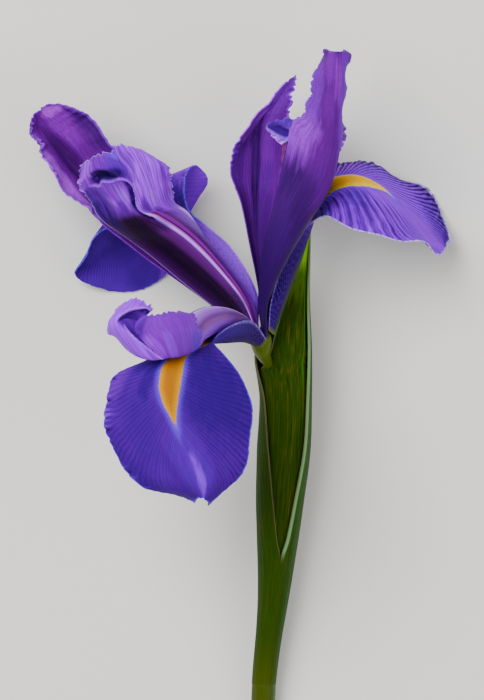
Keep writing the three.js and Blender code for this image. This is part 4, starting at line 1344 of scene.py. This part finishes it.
FRONT_NEAR_LOOK = dict(
    # From the keel: a thin blue line of painted rim light, a pale band of painted highlight on the
    # ridge, a darker mauve band of painted shade down the slope, and the violet wing
    flank=[
        (0, "#5038b0"),
        (0.07, "#a478e0"),
        (0.28, "#8a50c4"),
        (0.48, "#64308c"),
        (0.62, "#7c4498"),
        (0.8, "#8a3cdc"),
        (1, "#7c24d4"),
    ],
    stripe="#8a1c58",
    veined=0.5,
    crest_start=(0.42, 0.56),
    crest=["#60089c", "#7408b4", "#8a18d0"],
    rim=0.12,
    patches=[
        (0.1, 0.16, 0.9, 0.1, "#4c1070", 0.6),
        (-0.95, 0.72, 0.35, 0.12, "#9c14f4", 0.7),
        (-0.35, 0.7, 0.3, 0.12, "#8820e8", 0.7),
        (-0.98, 0.88, 0.2, 0.1, "#34007c", 0.7, 2),
        (0.3, 0.72, 0.4, 0.1, "#7c1cc4", 0.6),
        (0.8, 0.66, 0.35, 0.16, "#6028d8", 0.65),
    ],
)
FRONT_FAR_LOOK = dict(
    # Pale at the keel: a painted highlight on the ridge
    flank=[(0, "#c8b0e4"), (0.3, "#9a80d0"), (0.6, "#6c40a8"), (1, "#5a2090")],
    veined=0.6,
    crest_start=(0.42, 0.56),
    crest=["#8408dc", "#9c18f8", "#b040ff"],
    # Painted shade in the pocket's hollows, and a painted highlight on its rolled lip
    hollow="#2a0060",
    roll="#b060ff",
    patches=[
        # Painted shade in the crest's pocket
        (-0.68, 0.87, 0.45, 0.075, "#220058", 0.85),
        (-0.36, 0.87, 0.2, 0.05, "#30006c", 0.7),
        (-0.5, 0.985, 0.6, 0.025, "#8010d8", 0.6),
        # Painted shade in a crease
        (-0.72, 0.68, 0.2, 0.05, "#6010a0", 0.6),
        (-0.78, 0.76, 0.14, 0.1, "#38007c", 0.6, 3.2),
    ],
)
BACK_NEAR_LOOK = dict(
    # Near the keel a pale band of painted highlight on the ridge; the near-black flank beyond it
    # is its own colour
    flank=[
        (0, "#6c0888"),
        (0.06, "#8c1898"),
        (0.085, "#a048c4"),
        (0.112, "#cc90f0"),
        (0.145, "#a85cd8"),
        (0.16, "#5c1070"),
        (0.28, "#4a0c60"),
        (0.42, "#16001e"),
        (0.62, "#0a0012"),
        (0.8, "#20002e"),
        (1, "#3c0654"),
    ],
    stripe="#240634",
    keel_line=0.85,
    crest_start=(0.55, 0.64),
    crest=["#5c0098", "#7808bc", "#9018d8"],
    patches=[
        (-0.25, 0.5, 0.6, 0.08, "#0c0014", 0.8),
        (0.8, 0.65, 0.5, 0.2, "#10003c", 0.97, 0.6),
        # Painted highlight on the lower face of the left lobe
        (-0.3, 0.69, 0.26, 0.1, "#9440e4", 0.8),
        (0.3, 0.7, 0.12, 0.09, "#9848e8", 0.5, 2),
        (-0.65, 0.9, 0.45, 0.11, "#4408a4", 0.8),
        # Painted shade under the rolled lip
        (-0.15, 0.83, 0.38, 0.045, "#10003c", 0.95, 2),
        (0.5, 0.71, 0.4, 0.1, "#20004c", 0.7),
        (0, 0.63, 0.3, 0.05, "#280058", 0.6),
        (-0.6, 0.62, 0.25, 0.06, "#24004c", 0.7),
        # Painted shade in the crease between the lobes
        (-0.88, 0.69, 0.12, 0.08, "#1c0040", 0.7),
        (-0.7, 0.47, 0.3, 0.06, "#200030", 0.7),
        (-0.6, 0.1, 0.4, 0.08, "#24003c", 0.7),
        (-0.85, 0.97, 0.4, 0.05, "#6c28f0", 0.8),
        (0.5, 0.92, 0.4, 0.14, "#b038ff", 0.85),
    ],
)
BACK_FAR_LOOK = dict(
    flank=[
        (0, "#3c0450"),
        (0.12, "#30003c"),
        (0.3, "#480868"),
        (0.5, "#6410a0"),
        (0.75, "#7c20cc"),
        (1, "#9040f0"),
    ],
    crest_start=(0.52, 0.6),
    crest=["#8404d4", "#9c14f8", "#ac34ff"],
    patches=[
        (-0.72, 0.63, 0.3, 0.08, "#280050", 0.85),
        (-0.25, 0.59, 0.3, 0.05, "#3c0070", 0.7),
        (0.8, 0.71, 0.2, 0.1, "#c060ff", 0.5),
        # Painted highlight: a bright lilac spot at the foot of the crest
        (0.9, 0.52, 0.3, 0.07, "#d090ff", 0.9),
        (-0.1, 0.68, 0.3, 0.05, "#b878f4", 0.3),
        (-0.85, 0.9, 0.15, 0.14, "#6008c0", 0.7),
        (0.55, 0.85, 0.1, 0.12, "#5c0cb8", 0.6, 1.5),
    ],
)
RIGHT_NEAR_LOOK = dict(
    # Painted shade in the curl's hollow
    hollow="#30006c",
    crest=["#4c04a0", "#6408c8", "#7c18e8"],
    rim=0.25,
    patches=[
        (0.3, 0.97, 0.5, 0.06, "#1c0060", 0.8),
        (0.62, 0.93, 0.34, 0.045, "#140050", 0.85),
        (0, 0.86, 0.4, 0.05, "#b454ff", 0.85),
        (0.8, 1, 0.5, 0.035, "#c468ff", 0.9),
    ],
)
RIGHT_FAR_LOOK = dict(crest_start=(0.7, 0.78), rim=0.3, crest=["#9414f4", "#ac2cff", "#c054ff"])

# What each petal and flap is made from; petal_form tells what the shapes hold
FALLS = {
    "front": dict(
        stations=FALL_FRONT,
        frill=(0.26, 44, 7, 1.0, 0.35, 0.4),
        seed=3,
        signal=SIGNAL_FRONT,
        folds=[(0.1, 0.9, 0.12, 0.14, 0.5), (-0.35, 0.8, 0.12, 0.16, -0.5)],
        look=FRONT_FALL_LOOK,
    ),
    "back": dict(
        stations=FALL_BACK,
        frill=(0.2, 20, 9, 0.8, 0.8, 0.3),
        seed=5,
        signal=SIGNAL_FRONT,
        look=BACK_FALL_LOOK,
    ),
    "right": dict(
        stations=FALL_RIGHT,
        frill=(0.36, 38, 2.5, 0.25, 1.2, 0.4),
        seed=7,
        signal=SIGNAL_RIGHT,
        look=RIGHT_FALL_LOOK,
    ),
}
STANDARDS = {
    "left": dict(
        stations=STANDARD_LEFT,
        frill=(0.5, 30, 2.6, 0.5, 1.4, 0.6),
        seed=11,
        folds=[
            (-0.1, 0.68, 0.2, 0.25, -0.9),
            (-0.9, 0.82, 0.1, 0.08, -0.7),
            (-0.72, 0.78, 0.08, 0.08, 0.5),
        ],
        look=LEFT_STANDARD_LOOK,
    ),
    "front": dict(
        stations=STANDARD_FRONT,
        frill=(0.4, 24, 6, 1.3, 0.4, 0.7),
        seed=13,
        folds=[(-0.9, 0.53, 0.4, 0.07, 0.8), (0.06, 0.65, 0.1, 0.3, -0.25)],
        look=FRONT_STANDARD_LOOK,
    ),
    "back": dict(
        stations=STANDARD_BACK,
        frill=(0.45, 26, 4, 1.4, 0.9, 0.7),
        seed=17,
        folds=[
            (0.05, 0.5, 0.14, 0.25, -0.8),
            (0.85, 0.6, 0.2, 0.1, 0.6),
            (0.3, 0.86, 0.45, 0.14, 1.5),
        ],
        wave=(0.2, 6, 0.35),
        calm=0.8,
        look=BACK_STANDARD_LOOK,
    ),
}
# The near flap of each arm, and then the far one
STYLE_ARMS = {
    "front": (
        dict(stations=STYLE_FRONT_NEAR, seed=31, look=FRONT_NEAR_LOOK),
        dict(
            stations=STYLE_FRONT_FAR,
            seed=47,
            folds=[(-0.5, 0.91, 0.5, 0.05, -0.5), (-0.45, 0.99, 0.6, 0.03, 0.4)],
            lip=POCKET_LIP,
            look=FRONT_FAR_LOOK,
        ),
    ),
    "back": (
        dict(
            stations=STYLE_BACK_NEAR,
            seed=61,
            folds=[(0.3, 0.68, 0.1, 0.08, 0.4), (-0.1, 0.68, 0.08, 0.08, -0.35)],
            lip=CREST_LIP,
            look=BACK_NEAR_LOOK,
        ),
        dict(
            stations=STYLE_BACK_FAR,
            seed=67,
            folds=[
                (-0.5, 0.78, 0.1, 0.16, 0.5),
                (0, 0.8, 0.12, 0.14, 0.6),
                (0.5, 0.8, 0.1, 0.14, -0.6),
            ],
            look=BACK_FAR_LOOK,
        ),
    ),
    "right": (
        dict(
            stations=STYLE_RIGHT_NEAR,
            seed=71,
            folds=[(0.05, 0.9, 0.2, 0.05, 0.5)],
            lip=CURL_LIP,
            look=RIGHT_NEAR_LOOK,
        ),
        dict(stations=STYLE_RIGHT_FAR, seed=77, look=RIGHT_FAR_LOOK),
    ),
}
# Floor: width and height in metres, and the colour of its grain
FLOOR_WIDTH = 12
FLOOR_HEIGHT = -0.0002
FLOOR_GRAIN = (0.8, 0.79, 0.77)
SENSOR_WIDTH = 36
# Soft lights: name, setting of its power, width and place in metres
LIGHTS = (
    ("Key", "key_power", 0.9, (-0.55, 0.5, 1.3)),
    ("Fill", "fill_power", 1.2, (0.9, -0.5, 1.0)),
)


def with_colours(value):
    """The value, with the numbers of each colour that is written as #rrggbb in it."""
    if isinstance(value, str):
        return hex_colour(value)
    if isinstance(value, (list, tuple)):
        return type(value)(with_colours(part) for part in value)
    return value


def look_of(kind, changes):
    """The look of a kind of petal, with what one piece changes."""
    look = {name: with_colours(value) for name, value in (kind | changes).items()}
    return SimpleNamespace(**look)


def add_petals(kind, shared, plain_look, shapes, face, back, settings):
    """The petals of one kind, each with a skin on its face and one on its underside."""
    for side, shape in shapes.items():
        name, look = kind.title() + side.title(), look_of(plain_look, shape["look"])
        form = petal_form(shared | shape, settings.frill)
        finishes = [face(name + "Face", settings, look), back(name + "Underside", settings, look)]
        piece = add_sheet(name, form, settings.thickness, finishes)
        hand_over(piece, kind + "_" + side)


class IRIS_OT_falls(bpy.types.Operator):
    """Make the three falls with their signals"""

    bl_idname = "iris.falls"
    bl_label = "Falls"

    def execute(self, context):
        settings = context.scene.iris_petals
        add_petals("fall", FALL, FALL_LOOK, FALLS, fall_face, fall_back, settings)
        return {"FINISHED"}


class IRIS_OT_standards(bpy.types.Operator):
    """Make the three standards"""

    bl_idname = "iris.standards"
    bl_label = "Standards"

    def execute(self, context):
        settings, skins = context.scene.iris_petals, (standard_face, standard_back)
        add_petals("standard", STANDARD, STANDARD_LOOK, STANDARDS, *skins, settings)
        return {"FINISHED"}


class IRIS_OT_style_arms(bpy.types.Operator):
    """Make the three style arms, each of two flaps joined along their keel"""

    bl_idname = "iris.style_arms"
    bl_label = "Style arms"

    def execute(self, context):
        settings = context.scene.iris_petals
        for side, flaps in STYLE_ARMS.items():
            name, parts = "Style" + side.title(), []
            for part, shape in zip(("Near", "Far"), flaps):
                look = look_of(STYLE_LOOK, shape["look"])
                form = petal_form(FLAP | shape, settings.frill)
                finishes = [
                    style_skin(name + part + "Outer", settings, look),
                    style_skin(name + part + "Inner", settings, look, inner=True),
                ]
                near = part == "Near"
                parts.append(add_sheet(name + part, form, settings.thickness, finishes, near))
            clear_selection()
            for flap in parts:
                flap.select_set(True)
            bpy.context.view_layer.objects.active = parts[0]
            bpy.ops.object.join()
            piece, _ = name_added(name)
            hand_over(piece, "style_" + side)
        return {"FINISHED"}


def anther_swell(along, angle):
    """Girth of a stamen: a thin filament with a flattened anther at its end."""
    anther = smooth_step(along, 0.6, 0.68) * (1 - smooth_step(along, 0.94, 1.02))
    return 1 + (0.95 + 0.25 * np.cos(2 * angle)) * anther


class IRIS_OT_stamens(bpy.types.Operator):
    """Make the three stamens under the style arms"""

    bl_idname = "iris.stamens"
    bl_label = "Stamens"

    def execute(self, context):
        finish = stamen_skin(context.scene.iris_petals)
        for side, way in STAMENS.items():
            name, radii = "Stamen" + side.title(), [FILAMENT_RADIUS] * len(way)
            piece = add_rod(name, way, radii, finish, anther_swell, sides=12, rings=40)
            hand_over(piece, "stamen_" + side)
        return {"FINISHED"}


class IRIS_OT_bracts(bpy.types.Operator):
    """Make the two bracts that sheathe the stalk"""

    bl_idname = "iris.bracts"
    bl_label = "Bracts"

    def execute(self, context):
        greens = context.scene.iris_greens
        stem, foot, bract, tip = greens.stem, greens.stem_foot, greens.bract, greens.bract_tip
        outer = dict(
            along=[(0, foot), (0.1, stem), (0.4, bract), (0.8, bract), (1, tip)],
            mottle=0.35,
            vivid_at=math.radians(388),
            vivid_wide=0.35,
            vivid_shift=0,
            vivid_from=(-0.3, -0.2),
            vivid_green=greens.bract_side,
            vivid=0.7,
            glow=0,
            open=(0.26, 0.33),
            margin=1,
            dry=0.5,
        )
        light = greens.bract_light
        inner = dict(
            along=[(0, stem), (0.4, bract), (0.8, bract), (0.87, light), (0.92, tip)],
            mottle=1,
            vivid_at=math.radians(24),
            vivid_wide=0.09,
            vivid_shift=0.24,
            vivid_from=(0.3, 0.5),
            vivid_green=greens.bract_bright,
            vivid=0.8,
            glow=0.9,
            open=(0.2, 0.4),
            margin=0.35,
            dry=0.8,
        )
        for side, table, changes, flare in (
            ("outer", OUTER_BRACT, outer, 0.03),
            ("inner", INNER_BRACT, inner, 0),
        ):
            name, look = "Spathe" + side.title(), SimpleNamespace(**changes)
            form = bract_form(table, greens.bract_thickness / MM, flare)
            finishes = [
                bract_skin(name + "Face", greens, look),
                bract_skin(name + "Lining", greens, look, lining=True),
            ]
            piece = add_sheet(name, form, greens.bract_thickness, finishes)
            hand_over(piece, "spathe_" + side)
        return {"FINISHED"}


def ribbed(number, depth):
    """Girth of a rod with a number of soft ribs."""
    return lambda along, angle: 1 - depth + depth * np.cos(angle * number)


class IRIS_OT_stem(bpy.types.Operator):
    """Make the stem, cut off plainly at its foot"""

    bl_idname = "iris.stem"
    bl_label = "Stem"

    def execute(self, context):
        heights, radii = zip(*STEM_RADII)
        way = np.stack(stalk_at(heights), axis=-1)
        finish = stem_skin(context.scene.iris_greens)
        piece = add_rod("Stem", way, radii, finish, ribbed(9, 0.012), sides=48, rings=140)
        hand_over(piece, "stem")
        return {"FINISHED"}


class IRIS_OT_tube(bpy.types.Operator):
    """Make the ovary and the tube under the petals"""

    bl_idname = "iris.tube"
    bl_label = "Tube"

    def execute(self, context):
        way, radii = [row[:3] for row in TUBE], [row[3] for row in TUBE]
        finish = tube_skin(context.scene.iris_greens)
        piece = add_rod("OvaryTube", way, radii, finish, ribbed(3, 0.03), sides=36, rings=60)
        hand_over(piece, "ovary_tube")
        return {"FINISHED"}


class IRIS_OT_stage(bpy.types.Operator):
    """Set the pale floor, the soft lights and the camera"""

    bl_idname = "iris.stage"
    bl_label = "Stage"

    def execute(self, context):
        settings = context.scene.iris_stage
        clear_selection()
        bpy.ops.mesh.primitive_plane_add(size=FLOOR_WIDTH, location=(0, 0, FLOOR_HEIGHT))
        floor = context.object
        floor.name = "Floor"
        finish = Finish("FloorSkin", roughness=0.8)
        grain = finish.noise(finish.place(), 6, 3.0)
        finish.ground = settings.floor
        finish.lay((grain - 0.35).smooth(0, 0.4) * 0.25, FLOOR_GRAIN)
        floor.data.materials.append(finish.skin(grain, 0.05, 0.0005))
        bpy.ops.object.transform_apply(location=True, rotation=True, scale=True)
        for name, power, width, place in LIGHTS:
            bpy.ops.object.light_add(type="AREA", location=place)
            light = context.object
            light.name = name
            light.data.energy = getattr(settings, power)
            light.data.size = width
            light.rotation_mode = "QUATERNION"
            light.rotation_quaternion = (-Vector(place)).to_track_quat("-Z", "Y")
        world = bpy.data.worlds.new("Room")
        world.use_nodes = True
        room = world.node_tree.nodes["Background"].inputs
        room["Color"].default_value = (1, 1, 1, 1)
        room["Strength"].default_value = settings.sky
        context.scene.world = world
        x, y = DRAWING_SHIFT[:2] * MM
        bpy.ops.object.camera_add(location=(x, y, settings.camera_height), rotation=(0, 0, 0))
        camera = context.object
        camera.data.lens = settings.lens
        camera.data.sensor_width = SENSOR_WIDTH
        context.scene.camera = camera
        return {"FINISHED"}


class IRIS_PT_panel(bpy.types.Panel):
    """Sizes, colours and builders of the iris"""

    bl_idname = "IRIS_PT_panel"
    bl_label = "Iris"
    bl_space_type = "VIEW_3D"
    bl_region_type = "UI"
    bl_category = "Iris"

    def draw(self, context):
        for operator in OPERATORS:
            self.layout.operator(operator.bl_idname)
        for group in SETTINGS:
            box = self.layout.box()
            settings = getattr(context.scene, group)
            for name in settings.bl_rna.properties.keys():
                if name not in {"rna_type", "name"}:
                    box.prop(settings, name)


SETTINGS = {
    "iris_petals": IrisPetalSettings,
    "iris_greens": IrisGreenSettings,
    "iris_stage": IrisStageSettings,
}
OPERATORS = (
    IRIS_OT_falls,
    IRIS_OT_standards,
    IRIS_OT_style_arms,
    IRIS_OT_stamens,
    IRIS_OT_bracts,
    IRIS_OT_stem,
    IRIS_OT_tube,
    IRIS_OT_stage,
)
CLASSES = (*SETTINGS.values(), *OPERATORS, IRIS_PT_panel)


def register():
    for cls in CLASSES:
        bpy.utils.register_class(cls)
    for group, cls in SETTINGS.items():
        setattr(bpy.types.Scene, group, bpy.props.PointerProperty(type=cls))


def unregister():
    for group in SETTINGS:
        delattr(bpy.types.Scene, group)
    for cls in reversed(CLASSES):
        bpy.utils.unregister_class(cls)


def main():
    register()
    bpy.ops.iris.falls()
    bpy.ops.iris.standards()
    bpy.ops.iris.style_arms()
    bpy.ops.iris.stamens()
    bpy.ops.iris.bracts()
    bpy.ops.iris.stem()
    bpy.ops.iris.tube()
    bpy.ops.iris.stage()


if __name__ == "__main__":
    main()
